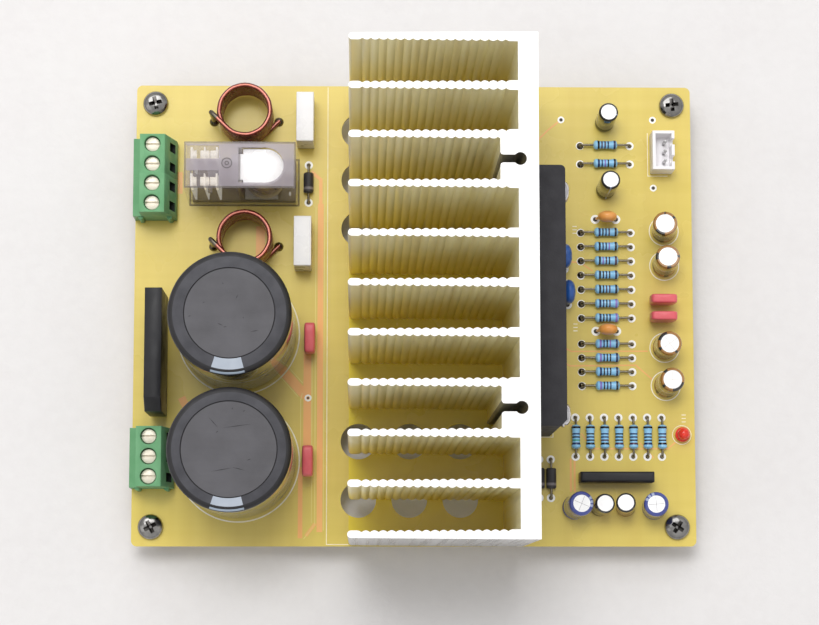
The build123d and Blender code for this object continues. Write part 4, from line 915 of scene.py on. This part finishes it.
def resistors(parts):
    """Dog-bone lacquered bodies, each with five bands of its own."""
    form = Form()
    for centre, axis, half, _ in parts:
        cap, waist = 1.2 * MM, 1.04 * MM
        rounding = 0.5 * MM
        cap_end = half - 1.5 * MM
        edges = [-0.62, -0.5, -0.36, -0.24, -0.1, 0.02, 0.16, 0.28, 0.52, 0.64]
        profile = [(0.35 * MM, -half), (cap * 0.7, -half + 0.12 * MM), (cap, -half + rounding)]
        profile += [(cap, -cap_end - 0.45 * MM), (waist, -cap_end + 0.1 * MM)]
        waist_marks = [edge * half for edge in edges if abs(edge * half) < cap_end - 0.15 * MM]
        profile += [(waist, mark) for mark in waist_marks]
        profile += [(waist, cap_end - 0.1 * MM), (cap, cap_end + 0.45 * MM), (cap, half - rounding)]
        profile += [(cap * 0.7, half - 0.12 * MM), (0.35 * MM, half)]
        steps = 20
        shape = turned(profile, steps)
        banded = [3]
        banded += [5 + index for index in range(0, len(waist_marks) - 1, 2)]
        banded.append(len(profile) - 4)
        looks = []
        colours = {band: 1 + random.choice((0, 0, 0, 1, 1, 1, 1, 2, 3 + axis)) for band in banded}
        if axis == 1:
            colours[banded[-1]] = 2
        for segment in range(len(profile) - 1):
            looks += [colours.get(segment, 0)] * steps
        form.add(shape, looks, Matrix.Translation(centre) @ lying_turn(axis))
    materials = [LACQUER] + BANDS
    form.piece("resistor_set", materials, replaces=["resistor_bodies"], slot="light_blue_resistor")


def diodes(parts):
    """Black axial diodes with a pale band at one end."""
    form = Form()
    for centre, axis, half, _ in parts:
        radius = 1.3 * MM
        round_off = 0.25 * MM
        profile = [(0.35 * MM, -half), (radius - round_off, -half), (radius, -half + round_off)]
        profile += [(radius, -half + 0.8 * MM), (radius, -half + 1.5 * MM)]
        profile += [(radius, half - round_off), (radius - round_off, half), (0.35 * MM, half)]
        steps = 28
        looks = []
        for segment in range(len(profile) - 1):
            looks += [1 if segment == 3 else 0] * steps
        form.add(turned(profile, steps), looks, Matrix.Translation(centre) @ lying_turn(axis))
    form.piece("diode_set", [DIODE, MARK], replaces=["diode_bodies"], slot="black_moulding")


def leads(parts):
    """Round tinned leads for every lying part and for the parts that stand clear of the board."""
    form = Form()
    foot = BOARD_TOP_Z
    taken = []
    for centre, axis, half, pads in parts:
        for pad in pads:
            start = centre.copy()
            start[axis] += half * 0.98 * (1 if pad[axis] > centre[axis] else -1)
            form.add(tube(bent_wire(start, pad, foot), LEAD_R, 10))
            taken.append(pad)
    upright = []
    for low, high in solids("component_leads"):
        middle = (low + high) / 2
        if all((Vector((pad.x - middle.x, pad.y - middle.y))).length > 5 * MM for pad in taken):
            upright.append(middle)
            wide = max(high.x - low.x, high.y - low.y) / 2
            form.add(tube([(middle.x, middle.y, foot), (middle.x, middle.y, high.z)], wide, 12))
    form.piece("wire_leads", [LEAD_TIN], replaces=["component_leads"], slot="tinned_metal")
    return taken, upright


def small_can(form, can, fold, stripes, score):
    """One small electrolytic: beaded sleeve, rolled edge, bright scored top and its stripes."""
    foot, axis, radius, height = can
    fold *= radius
    profile = [(0, 0), (radius * 0.9, 0), (radius, 0.3 * MM), (radius, 1.5 * MM)]
    profile += [(radius * 0.93, 1.8 * MM), (radius * 0.93, 2.1 * MM), (radius, 2.4 * MM)]
    profile += [(radius, height - 0.6 * MM), (radius * 0.975, height - 0.25 * MM), (radius * 0.9, height)]
    profile += [(fold, height - 0.02 * MM), (fold * 0.99, height - 0.2 * MM), (0, height - 0.2 * MM)]
    steps = 48
    looks = []
    for segment in range(len(profile) - 1):
        for step in range(steps):
            angle = 360 * step / steps
            striped = 1 < segment < 10 and any((angle - start) % 360 < wide for start, wide in stripes)
            looks.append(2 if segment >= 10 else 4 if segment >= 7 and not striped else 1 if striped else 0)
    upright = Matrix.Translation(foot) @ axis.to_track_quat("Z", "Y").to_matrix().to_4x4()
    form.add(turned(profile, steps), looks, upright)
    reach, half = 0.9 * fold, 0.05 * MM
    for turn in score:
        line = [(-reach, -half), (reach, -half), (reach, half), (-reach, half)]
        groove = prism(line, height - 0.2 * MM, height - 0.17 * MM)
        form.add(groove, 3, upright @ Matrix.Rotation(turn, 4, "Z"))


def electrolytics():
    """The four sorts of small electrolytic capacitor, each with its stripes: start and width in degrees."""
    gold = (((-40, 50), (135, 14), (190, 10)), ((-50, 40), (60, 16), (150, 12)))
    sorts = (
        ("gold", GOLD, GOLD, STRIPE, FAINT_SCORE, gold + (((-75, 60), (20, 14), (120, 10)), ((120, 75), (-30, 20), (60, 10))), 0.76),
        ("black", BLACK_SLEEVE, BLACK, PALE_STRIPE, None, (((160, 12),), ((100, 12),)), 0.8),
        ("brown", BROWN, BLACK, STRIPE, None, (((60, 70),), ((80, 70),)), 0.82),
        ("blue", BLUE, BLUE, PALE_STRIPE, SCORE, (((215, 16), (240, 12), (262, 14)), ((225, 12), (246, 14), (270, 12))), 0.7),
    )
    for name, sleeve, rim, stripe, groove, stripes, fold in sorts:
        form = Form()
        node = f"{name}_electrolytics"
        for can, bands in zip(cans(node), stripes):
            turn = random.uniform(0, 0.7)
            small_can(form, can, fold, bands, (turn, turn + math.pi / 2) if groove else ())
        materials = [sleeve, stripe, CAN_METAL, groove or SCORE, rim]
        form.piece(f"{name}_capacitors", materials, replaces=[node], slot=f"{name}_sleeve")


def big_can(number):
    """One filter capacitor: glossy sleeve, shoulder, groove, satin disc, marked patch and nicks."""
    low, high = (Vector(corner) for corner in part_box(f"filter_capacitor_{number}"))
    radius = (high.x - low.x) / 2
    height = high.z - low.z
    groove = (0.73 if number == 1 else 0.77) * radius
    rim = 1.3 * MM
    curve = [math.radians(angle) for angle in range(0, 91, 15)]
    profile = [(0, 0), (radius * 0.93, 0), (radius * 0.96, 0.4 * MM), (radius * 0.985, 1.4 * MM)]
    profile += [(radius * 0.985, 3.4 * MM), (radius, 4.2 * MM)]
    profile += [(radius - rim * (1 - math.cos(a)), height - rim * (1 - math.sin(a))) for a in curve]
    shoulder = len(profile) - 1
    profile += [(groove + 0.13 * MM, height), (groove + 0.05 * MM, height - 0.25 * MM)]
    profile += [(groove - 0.05 * MM, height - 0.25 * MM), (groove - 0.13 * MM, height - 0.1 * MM)]
    profile += [(0, height - 0.1 * MM)]
    steps = 120
    looks = []
    for segment in range(len(profile) - 1):
        for step in range(steps):
            marked = abs(360 * (step + 0.5) / steps - 269) < 16.5
            if segment >= shoulder + 4:
                looks.append(1)
            elif segment == shoulder:
                looks.append(2 if marked else 4)
            elif segment in (shoulder - 3, shoulder - 4) and marked:
                looks.append(3)
            elif segment >= shoulder - 6:
                looks.append(5)
            else:
                looks.append(0)
    form = Form()
    place = at((low.x + high.x) / 2, (low.y + high.y) / 2, low.z)
    form.add(turned(profile, steps), looks, place)
    for x, y, turn, length in CAN_NICKS[number]:
        nick = [(-length / 2, 0), (0, -0.09), (length / 2, 0), (0, 0.09)]
        nick = [(along * MM, across * MM) for along, across in nick]
        spot = place @ at(x * MM, y * MM, 0, math.radians(turn))
        form.add(prism(nick, height - 0.12 * MM, height - 0.08 * MM), 5, spot)
    materials = [CAN_SLEEVE, CAN_DISC, PATCH, PATCH_RIM, CAN_RING, NICK]
    form.piece(f"filter_can_{number}", materials, replaces=[f"filter_capacitor_{number}"], slot="black_sleeve")


# Small dents and scratches on the cans' tops: x and y from the axis, turn in degrees and length in millimetres
CAN_NICKS = {
    1: (
        (1.8, 3.9, 62, 1.3), (-1.6, 7.2, 100, 0.5), (-9.6, -0.8, 10, 0.8), (-2.2, -2.8, -24, 1.6),
        (-1.0, -3.4, 10, 1.0), (6.2, -4.4, 12, 2.2), (-6.2, 2.5, 30, 0.5), (3.4, -1.2, 80, 0.4),
    ),
    2: (
        (-3.7, 6.4, -48, 3.6), (2.0, 5.6, 8, 7.2), (-2.8, 4.2, 40, 0.8), (-1.6, -4.9, 10, 5.2),
        (2.4, -4.7, -14, 3.4), (4.9, -2.5, 20, 1.2), (0.8, 9.8, 60, 0.6), (3.6, 9.2, 30, 0.7),
    ),
}

# The output coils, in millimetres
COIL_R = 6.58
COIL_WIRE_R = 0.62
COIL_TURNS = 11
COIL_PITCH = 1.1
COIL_FOOT_INSET = 0.95
COIL_FOOT_SHIFT = 0.8


def coil(number):
    """A wound coil, clockwise from above: tight turns whose two ends run out tangent to their pads."""
    low, high = (Vector(corner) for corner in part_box(f"output_coil_{number}"))
    centre = (low + high) / 2
    reach = (high.x - low.x) / 2 / MM - COIL_FOOT_INSET
    turned_back = math.acos(COIL_R / reach) + math.asin(COIL_FOOT_SHIFT / reach)
    steps = 40
    base = low.z + (0.5 + COIL_PITCH / 2) * MM
    sweep = 2 * math.pi * (COIL_TURNS - 1) + math.pi - 2 * turned_back
    count = int(steps * sweep / (2 * math.pi))
    turns = []
    for step in range(count + 1):
        angle = -turned_back - sweep * step / count
        height = base + COIL_PITCH * MM * sweep * step / count / (2 * math.pi)
        wobble = (COIL_R + 0.03 * math.sin(step * 1.7)) * MM
        spot = Vector((wobble * math.cos(angle), wobble * math.sin(angle), height))
        turns.append(Vector((centre.x, centre.y, 0)) + spot)
    foot_y = centre.y - COIL_FOOT_SHIFT * MM
    right, left = (Vector((centre.x + way * reach * MM, foot_y, low.z)) for way in (1, -1))
    first = [right, right + Vector((0, 0, 0.7 * MM)), right + (turns[0] - right) * 0.3]
    first[2].z = turns[0].z
    above = left.copy()
    above.z = turns[-1].z - 0.1 * MM
    last = [turns[-1].lerp(above, share) for share in (0.3, 0.65, 0.9)]
    last += [above + Vector((-0.12, 0.1, -0.35)) * MM, above + Vector((0, 0.05, -1.3)) * MM]
    last += [left + Vector((0, 0, 2.6 * MM))]
    form = Form()
    form.add(tube(first + turns + last[:2], COIL_WIRE_R * MM, 14))
    form.add(tube([turns[-1].lerp(above, 0.6)] + last[2:], 0.99 * COIL_WIRE_R * MM, 14), 1)
    form.add(tube([left + Vector((0, 0, 2.7 * MM)), left], 0.92 * COIL_WIRE_R * MM, 14), 1)
    for foot in (left, right):
        dome = [(1.25 * MM, 0), (1.16 * MM, 0.3 * MM), (0.86 * MM, 0.75 * MM), (0.4 * MM, 1.0 * MM), (0, 1.05 * MM)]
        form.add(turned([(0, 0)] + dome, 20), 1, Matrix.Translation(foot))
    piece = f"wound_coil_{number}"
    form.piece(piece, [WIRE, BLOB], replaces=[f"output_coil_{number}"], slot="red_enamelled_copper")


def soft_block(form, low, high, look, place, waist=0.0, power=4.0):
    """A dipped body: a rounded block, fuller in the middle, with its lower corners drawn in."""
    size = (high - low) / 2
    rows, steps = 14, 36
    points, faces = [], []
    for row in range(rows + 1):
        lift = math.pi * (row / rows - 0.5)
        level = abs(math.sin(lift)) ** (2 / power) * (1 if lift > 0 else -1)
        spread = max(math.cos(lift), 0.0) ** (2 / power)
        draw = 1 - waist * max(0.0, -level)
        for step in range(steps):
            angle = 2 * math.pi * step / steps
            across = math.cos(angle)
            along = math.sin(angle)
            x = math.copysign(abs(across) ** (2 / power), across) * size.x * spread * draw
            y = math.copysign(abs(along) ** (2 / power), along) * size.y * spread * draw
            points.append((x, y, level * size.z))
    for row in range(rows):
        for step in range(steps):
            after = (step + 1) % steps
            first, second = row * steps, (row + 1) * steps
            faces.append((first + step, first + after, second + after, second + step))
    form.add((points, faces), look, place)


def film_capacitors():
    """The red film capacitors, dipped and standing on short legs."""
    for side in ("left", "right"):
        node = f"red_capacitors_{side}"
        form = Form()
        for low, high in solids(node):
            centre = (low + high) / 2
            body_low = low + Vector((0, 0, 0.5 * MM))
            lift = Matrix.Translation((centre.x, centre.y, (body_low.z + high.z) / 2))
            soft_block(form, body_low, high, 0, lift, 0.12, 7.0)
            size = high - low
            axis = Vector((1, 0, 0)) if size.x > size.y else Vector((0, 1, 0))
            for way in (1, -1):
                foot = Vector((centre.x, centre.y, low.z)) + axis * way * (max(size.x, size.y) / 2 - 1.2 * MM)
                form.add(tube([foot, foot + Vector((0, 0, 1.6 * MM))], LEAD_R, 8), 1)
        form.piece(f"red_film_{side}", [RED_DIP, LEAD_TIN], replaces=[node], slot="red_dip")


def disc_capacitors():
    """The dipped ceramic discs, with the coating run down on to their legs."""
    sorts = (("orange", ORANGE_DIP, 0, 2.5 * MM, 1.5 * MM), ("blue", BLUE_DIP, 1, 3.2 * MM, 1.7 * MM))
    for name, paint, axis, radius, half in sorts:
        node = f"{name}_disc_capacitors"
        form = Form()
        for low, high in solids(node):
            centre = (low + high) / 2
            turn = 0 if axis == 0 else math.pi / 2
            place = Matrix.Translation((centre.x, centre.y, 0)) @ Matrix.Rotation(turn, 4, "Z")
            middle_z = high.z - radius
            lens = Vector((radius, half, radius))
            lift = place @ Matrix.Translation((0, 0, middle_z))
            soft_block(form, -lens, lens, 0, lift, 0.0, 2.1)
            for way in (1, -1):
                path = [
                    Vector((way * 0.5 * radius, 0, middle_z - 0.55 * radius)),
                    Vector((way * 0.78 * radius, 0, middle_z - 0.8 * radius)),
                    Vector((way * 2.45 * MM, 0, low.z + 0.9 * MM)),
                    Vector((way * 2.5 * MM, 0, low.z)),
                ]
                form.add(tube(path[:3], 0.62 * MM, 12, lambda share: 1 - 0.4 * share), 0, place)
                form.add(tube(path[2:], LEAD_R, 8), 1, place)
        form.piece(f"{name}_discs", [paint, LEAD_TIN], replaces=[node], slot=f"{name}_ceramic")


def lamp():
    """The indicator: a clear red dome on a round flange."""
    low, high = (Vector(corner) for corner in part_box("indicator_lamp"))
    flange = (high.x - low.x) / 2
    barrel = 1.5 * MM
    dome_z = high.z - low.z - barrel
    curve = [math.radians(angle) for angle in range(0, 91, 10)]
    profile = [(0, 0), (flange - 0.1 * MM, 0), (flange, 0.1 * MM), (flange, 0.9 * MM)]
    profile += [(flange - 0.1 * MM, 1.0 * MM), (barrel, 1.0 * MM)]
    profile += [(barrel * math.cos(a), dome_z + barrel * math.sin(a)) for a in curve[:-1]]
    profile.append((0, dome_z + barrel))
    form = Form()
    form.add(turned(profile, 40), 0, at((low.x + high.x) / 2, (low.y + high.y) / 2, low.z))
    form.piece("red_lamp", [LENS], replaces=["indicator_lamp"], slot="red_lens")


# What is seen through the lacquer and what is printed on it: (x, y) in millimetres, then a width
SEEN_TRACKS = (
    (((-27.0, 37.6), (-24.5, 35.4), (-24.5, -56.8)), 0.9),
    (((-24.5, 29.0), (-24.5, -56.8)), 1.5),
    (((-27.8, -9.8), (-27.8, -41.0)), 2.0),
    (((-29.5, -40.0), (-29.5, -58.4)), 1.2),
    (((-41.0, -7.4), (-28.2, -21.6)), 2.5),
    (((-25.6, -54.6), (-28.0, -57.8)), 0.8),
    (((-61.4, 37.4), (-61.4, 31.6)), 1.3),
    (((-40.2, 23.0), (-40.2, 11.6)), 2.4),
    (((36.5, -7.2), (41.0, -9.8), (61.0, -9.7)), 0.35),
    (((36.5, -11.2), (40.6, -13.6), (57.8, -13.4), (62.2, -17.2)), 0.35),
    (((37.0, 14.2), (43.6, 13.6), (46.8, 11.4)), 0.35),
    (((40.6, -29.0), (43.2, -32.0)), 0.35),
    (((43.4, -31.2), (46.4, -35.2), (66.0, -35.2), (68.0, -33.4)), 0.35),
    (((58.6, -33.6), (62.2, -37.6)), 0.35),
    (((40.6, -37.8), (40.6, -46.4)), 0.5),
    (((41.6, -37.8), (41.6, -46.4)), 0.5),
    (((29.0, 42.6), (35.4, 49.0), (38.4, 51.4)), 0.4),
    (((-60.4, -22.0), (-57.6, -27.6)), 2.0),
)
SEEN_GAPS = (
    (((-25.75, 28.0), (-25.75, -54.8), (-28.6, -58.6)), 0.16),
    (((-23.5, 34.6), (-23.5, -56.4)), 0.14),
    (((-29.1, -20.8), (-29.5, -22.6), (-29.5, -39.0)), 0.16),
    (((-26.6, -10.0), (-26.6, -54.4)), 0.14),
    (((-42.2, -8.2), (-30.2, -21.7)), 0.16),
    (((-38.6, -7.4), (-29.0, -18.2)), 0.16),
)
PRINTED_LINES = (
    (((-22.7, 60.2), (-22.7, -60.0), (-17.0, -60.0)), 0.18),
    (((32.9, -30.1), (36.05, -30.1), (36.05, -32.2), (32.9, -32.2)), 0.18),
    (((61.6, 48.2), (61.6, 36.7), (66.8, 36.7)), 0.18),
)
LOOSE_PADS = ((38.8, 51.7), (63.0, 51.7), (63.0, 33.5), (-27.6, -22.1))
GOLD_RING_R = 3.95 * MM
LETTER_SPECKS = ((41.6, 23.2), (41.6, -2.6), (69.6, -26.4))


def board_print():
    """Tracks seen through the lacquer, the printed outlines and rings."""
    form = Form()
    for index, (path, width) in enumerate(SEEN_TRACKS):
        form.add(stroke(path, width, TRACK_THICK * (1 + 0.04 * index)), 0)
    for path, width in SEEN_GAPS:
        form.add(stroke(path, width, 2 * TRACK_THICK), 1)
    form.piece("lacquered_tracks", [TRACK, GAP], slot="laminate")
    form = Form()
    for path, width in PRINTED_LINES:
        form.add(stroke(path, width, PRINT_THICK))
    for foot, _, _, _ in cans("gold_electrolytics"):
        form.add(ring(GOLD_RING_R - 0.26 * MM, GOLD_RING_R, PRINT_THICK, 56), 0, at(*foot.xy, BOARD_TOP_Z))
    for number in (1, 2):
        low, high = (Vector(corner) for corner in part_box(f"filter_capacitor_{number}"))
        radius = (high.x - low.x) / 2 + 0.9 * MM
        form.add(ring(radius - 0.35 * MM, radius, PRINT_THICK, 96), 0, at(*((low + high) / 2).xy, BOARD_TOP_Z))
    low, high = (Vector(corner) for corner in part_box("indicator_lamp"))
    form.add(ring(2.35 * MM, 2.52 * MM, PRINT_THICK, 40), 0, at(*((low + high) / 2).xy, BOARD_TOP_Z))
    for x, y in LETTER_SPECKS:
        for row in range(3):
            line = ((x, y - 0.9 * row), (x + 1.1, y - 0.9 * row))
            form.add(stroke(line, 0.22, PRINT_THICK))
    form.piece("printed_outlines", [PRINT], slot="laminate")


def top_pads(places, blobs):
    """Tinned rings on the board's face, each with a dark disc of painted shade for its hole, some of them filled
    with solder.
    """
    form = Form()
    for x, y, outer in places:
        place = at(x, y, BOARD_TOP_Z)
        hole = 0.5 * outer
        form.add(ring(hole, outer, 1.5 * PRINT_THICK, 24), 0, place)
        # Painted shade: a dark disc stands for each pad's hole
        form.add(turned([(0, 0.02 * MM), (hole, 0.01 * MM), (hole, 0), (0, 0)], 16), 1, place)
    for x, y in blobs:
        lean = random.uniform(-0.12, 0.12) * MM
        dome = [(0, 0), (0.92 * MM, 0), (0.84 * MM, 0.22 * MM), (0.55 * MM, 0.5 * MM), (0, 0.66 * MM)]
        form.add(turned(dome, 18), 2, at(x + lean, y - lean, BOARD_TOP_Z))
    form.piece("face_pads", [PAD_TIN, HOLE_DARK, BLOB], slot="tinned_metal")


def under_joints(places):
    """A solder cone and a cut lead end under each pad."""
    form = Form()
    for x, y, scale in places:
        outer, stub = JOINT_R * scale, STUB_R * scale
        profile = [(outer, 0), (outer * 0.82, -0.12 * MM), (outer * 0.5, -0.45 * MM)]
        profile += [(stub * 1.1, -JOINT_DEPTH), (stub, -STUB_DEPTH), (0, -STUB_DEPTH)]
        form.add(turned(profile, 16), 0, at(x, y, BOARD_LOW_Z))
    form.piece("solder_joints", [SOLDER], slot="tinned_metal")


def under_tracks(places):
    """Broad lacquered tracks that join neighbouring joints on the underside."""
    form = Form()
    low = BOARD_LOW_Z - TRACK_THICK
    for path, width in SEEN_TRACKS:
        form.add(stroke(path, width + 0.4, TRACK_THICK, low))
    spots = [(x / MM, y / MM) for x, y, _ in places]
    linked = set()
    for index, spot in enumerate(spots):
        order = sorted(range(len(spots)), key=lambda other: math.dist(spot, spots[other]))
        for other in order[1:2]:
            pair = (min(index, other), max(index, other))
            if pair not in linked and math.dist(spot, spots[other]) > 2.6:
                linked.add(pair)
                form.add(stroke((spot, spots[other]), 1.1, TRACK_THICK, low))
    form.piece("under_tracks", [TRACK], slot="laminate")


def joint_places(pads, upright):
    """X, y and size of every solder joint."""
    places = [(pad.x, pad.y, 1.0) for pad in pads] + [(spot.x, spot.y, 1.0) for spot in upright]
    for node in ("module_pins", "signal_pins"):
        places += [(*((low + high) / 2).xy, 0.9) for low, high in solids(node)]
    for low, high in solids("terminal_pins"):
        places.append((high.x - 0.3 * MM, (low.y + high.y) / 2, 1.3))
    for low, high in solids("relay_fixed_contacts"):
        places.append((*((low + high) / 2).xy, 1.2))
    for node in ("gold", "black", "brown", "blue"):
        for foot, _, _, _ in cans(f"{node}_electrolytics"):
            places += [(foot.x, foot.y + way * 1.25 * MM, 0.9) for way in (1, -1)]
    for number in (1, 2):
        low, high = (Vector(corner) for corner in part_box(f"filter_capacitor_{number}"))
        middle = (low + high) / 2
        places += [(middle.x, middle.y + way * 5 * MM, 1.9) for way in (1, -1)]
        low, high = (Vector(corner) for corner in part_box(f"output_coil_{number}"))
        foot_y = (low.y + high.y) / 2 - COIL_FOOT_SHIFT * MM
        places += [(x, foot_y, 1.4) for x in (low.x + COIL_FOOT_INSET * MM, high.x - COIL_FOOT_INSET * MM)]
        low, high = (Vector(corner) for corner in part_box(f"white_capacitor_{number}"))
        middle = (low + high) / 2
        places += [(middle.x, middle.y + way * 5 * MM, 1.1) for way in (1, -1)]
    for node, reach in (("red_capacitors_left", 2.5), ("red_capacitors_right", 2.5)):
        for low, high in solids(node):
            middle = (low + high) / 2
            long_x = high.x - low.x > high.y - low.y
            for way in (1, -1):
                shift = way * reach * MM
                places.append((middle.x + (shift if long_x else 0), middle.y + (0 if long_x else shift), 1.0))
    for node, axis in (("orange_disc_capacitors", 0), ("blue_disc_capacitors", 1)):
        for low, high in solids(node):
            middle = (low + high) / 2
            for way in (1, -1):
                spot = [middle.x, middle.y]
                spot[axis] += way * 2.5 * MM
                places.append((*spot, 1.0))
    return places


def face_pad_places(pads, half_blobbed):
    """X, y and radius of the pads that show on the board's face, and the places of solder on them."""
    places = [(pad.x, pad.y, PAD_R) for pad in pads]
    places += [(x * MM, y * MM, 0.92 * MM) for x, y in LOOSE_PADS]
    for node, axis in (("orange_disc_capacitors", 0), ("blue_disc_capacitors", 1)):
        for low, high in solids(node):
            middle = (low + high) / 2
            for way in (1, -1):
                spot = [middle.x, middle.y]
                spot[axis] += way * 2.7 * MM
                places.append((*spot, 1.2 * MM))
    blobs = []
    for centre, axis, _, ends in half_blobbed:
        blobs += [(pad.x, pad.y) for pad in ends if axis == 0 and pad.x < centre.x]
    return places, blobs


def relay_marks():
    """The round moulding mark on the clear cover's top."""
    low, high = (Vector(corner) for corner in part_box("relay_cover"))
    form = Form()
    place = at(-47.8 * MM, 35.05 * MM, high.z - 0.085 * MM)
    form.add(ring(1.15 * MM, 1.35 * MM, 0.1 * MM, 32), 0, place)
    form.add(ring(0.35 * MM, 0.55 * MM, 0.1 * MM, 20), 0, place)
    form.piece("cover_mark", [SWIRL], slot="clear_cover")


def stage():
    """A pale table top with a faint mottle."""
    paint = Paint("table", srgb(219, 217, 217), 0.7)
    paint.patchy(srgb(214, 211, 211), 40, 0.5)
    paint.patchy(srgb(222, 220, 220), 300, 0.5)
    paint.grained(420, 0.15 * MM)
    size = 3.0
    mesh = bpy.data.meshes.new("table")
    corners = [(-size, -size, 0), (size, -size, 0), (size, size, 0), (-size, size, 0)]
    mesh.from_pydata(corners, [], [(0, 1, 2, 3)])
    mesh.materials.append(paint.material)
    table = bpy.data.objects.new("table", mesh)
    bpy.context.scene.collection.objects.link(table)


def area_light(name, place, aim, size, power, mirrored=True):
    """A flat soft light at a place, aimed at a point; it may be left out of mirrored light."""
    data = bpy.data.lights.new(name, "AREA")
    data.shape = "RECTANGLE"
    data.size, data.size_y = size
    data.energy = power
    light = bpy.data.objects.new(name, data)
    light.location = place
    direction = Vector(aim) - Vector(place)
    light.rotation_euler = direction.to_track_quat("-Z", "Y").to_euler()
    light.visible_glossy = mirrored
    bpy.context.scene.collection.objects.link(light)


def lights():
    """A key light high towards +Y, a broad glow beyond it, a weak side fill and a room brighter overhead."""
    area_light("key", (-0.1, 0.28, 1.25), (0, 0, 0), (0.42, 0.34), 6.7, mirrored=False)
    area_light("glow", (-0.16, 0.5, 0.95), (0, 0, 0), (0.9, 0.6), 3.6)
    area_light("side", (-0.9, -0.2, 0.9), (0, 0, 0), (0.6, 0.9), 0.8)
    world = bpy.data.worlds.new("room")
    world.use_nodes = True
    nodes, links = world.node_tree.nodes, world.node_tree.links
    background = nodes["Background"]
    background.inputs["Color"].default_value = (1.0, 0.99, 0.975, 1.0)
    spot = nodes.new("ShaderNodeTexCoord")
    parts = nodes.new("ShaderNodeSeparateXYZ")
    fade = nodes.new("ShaderNodeMapRange")
    for key, value in (("From Min", 0.2), ("From Max", 0.95), ("To Min", 0.5), ("To Max", 0.74)):
        fade.inputs[key].default_value = value
    links.new(spot.outputs["Generated"], parts.inputs["Vector"])
    links.new(parts.outputs["Z"], fade.inputs["Value"])
    links.new(fade.outputs["Result"], background.inputs["Strength"])
    bpy.context.scene.world = world


def camera():
    """The camera of the photograph."""
    data = bpy.data.cameras.new("camera")
    data.lens = CAMERA_LENS_MM
    data.sensor_width = CAMERA_SENSOR_MM
    data.sensor_fit = "HORIZONTAL"
    data.clip_start = 0.01
    eye = bpy.data.objects.new("camera", data)
    eye.location = (CAMERA_X, CAMERA_Y, CAMERA_ABOVE_BOARD + BOARD_TOP_Z)
    eye.rotation_euler = [math.radians(turn) for turn in CAMERA_TURN_DEG]
    bpy.context.scene.collection.objects.link(eye)
    bpy.context.scene.camera = eye


def build():
    """Every piece of the scene."""
    dress_all()
    heatsink()
    screws()
    resistor_parts = axial_parts("resistor_bodies")
    diode_parts = axial_parts("diode_bodies")
    resistors(resistor_parts)
    diodes(diode_parts)
    pads, upright = leads(resistor_parts + diode_parts)
    electrolytics()
    for number in (1, 2):
        big_can(number)
        coil(number)
    film_capacitors()
    disc_capacitors()
    lamp()
    board_print()
    top_pads(*face_pad_places(pads, resistor_parts))
    joints = joint_places(pads, upright)
    under_joints(joints)
    under_tracks(joints)
    relay_marks()


bpy.context.scene.view_settings.view_transform = "Standard"
build()
stage()
lights()
camera()
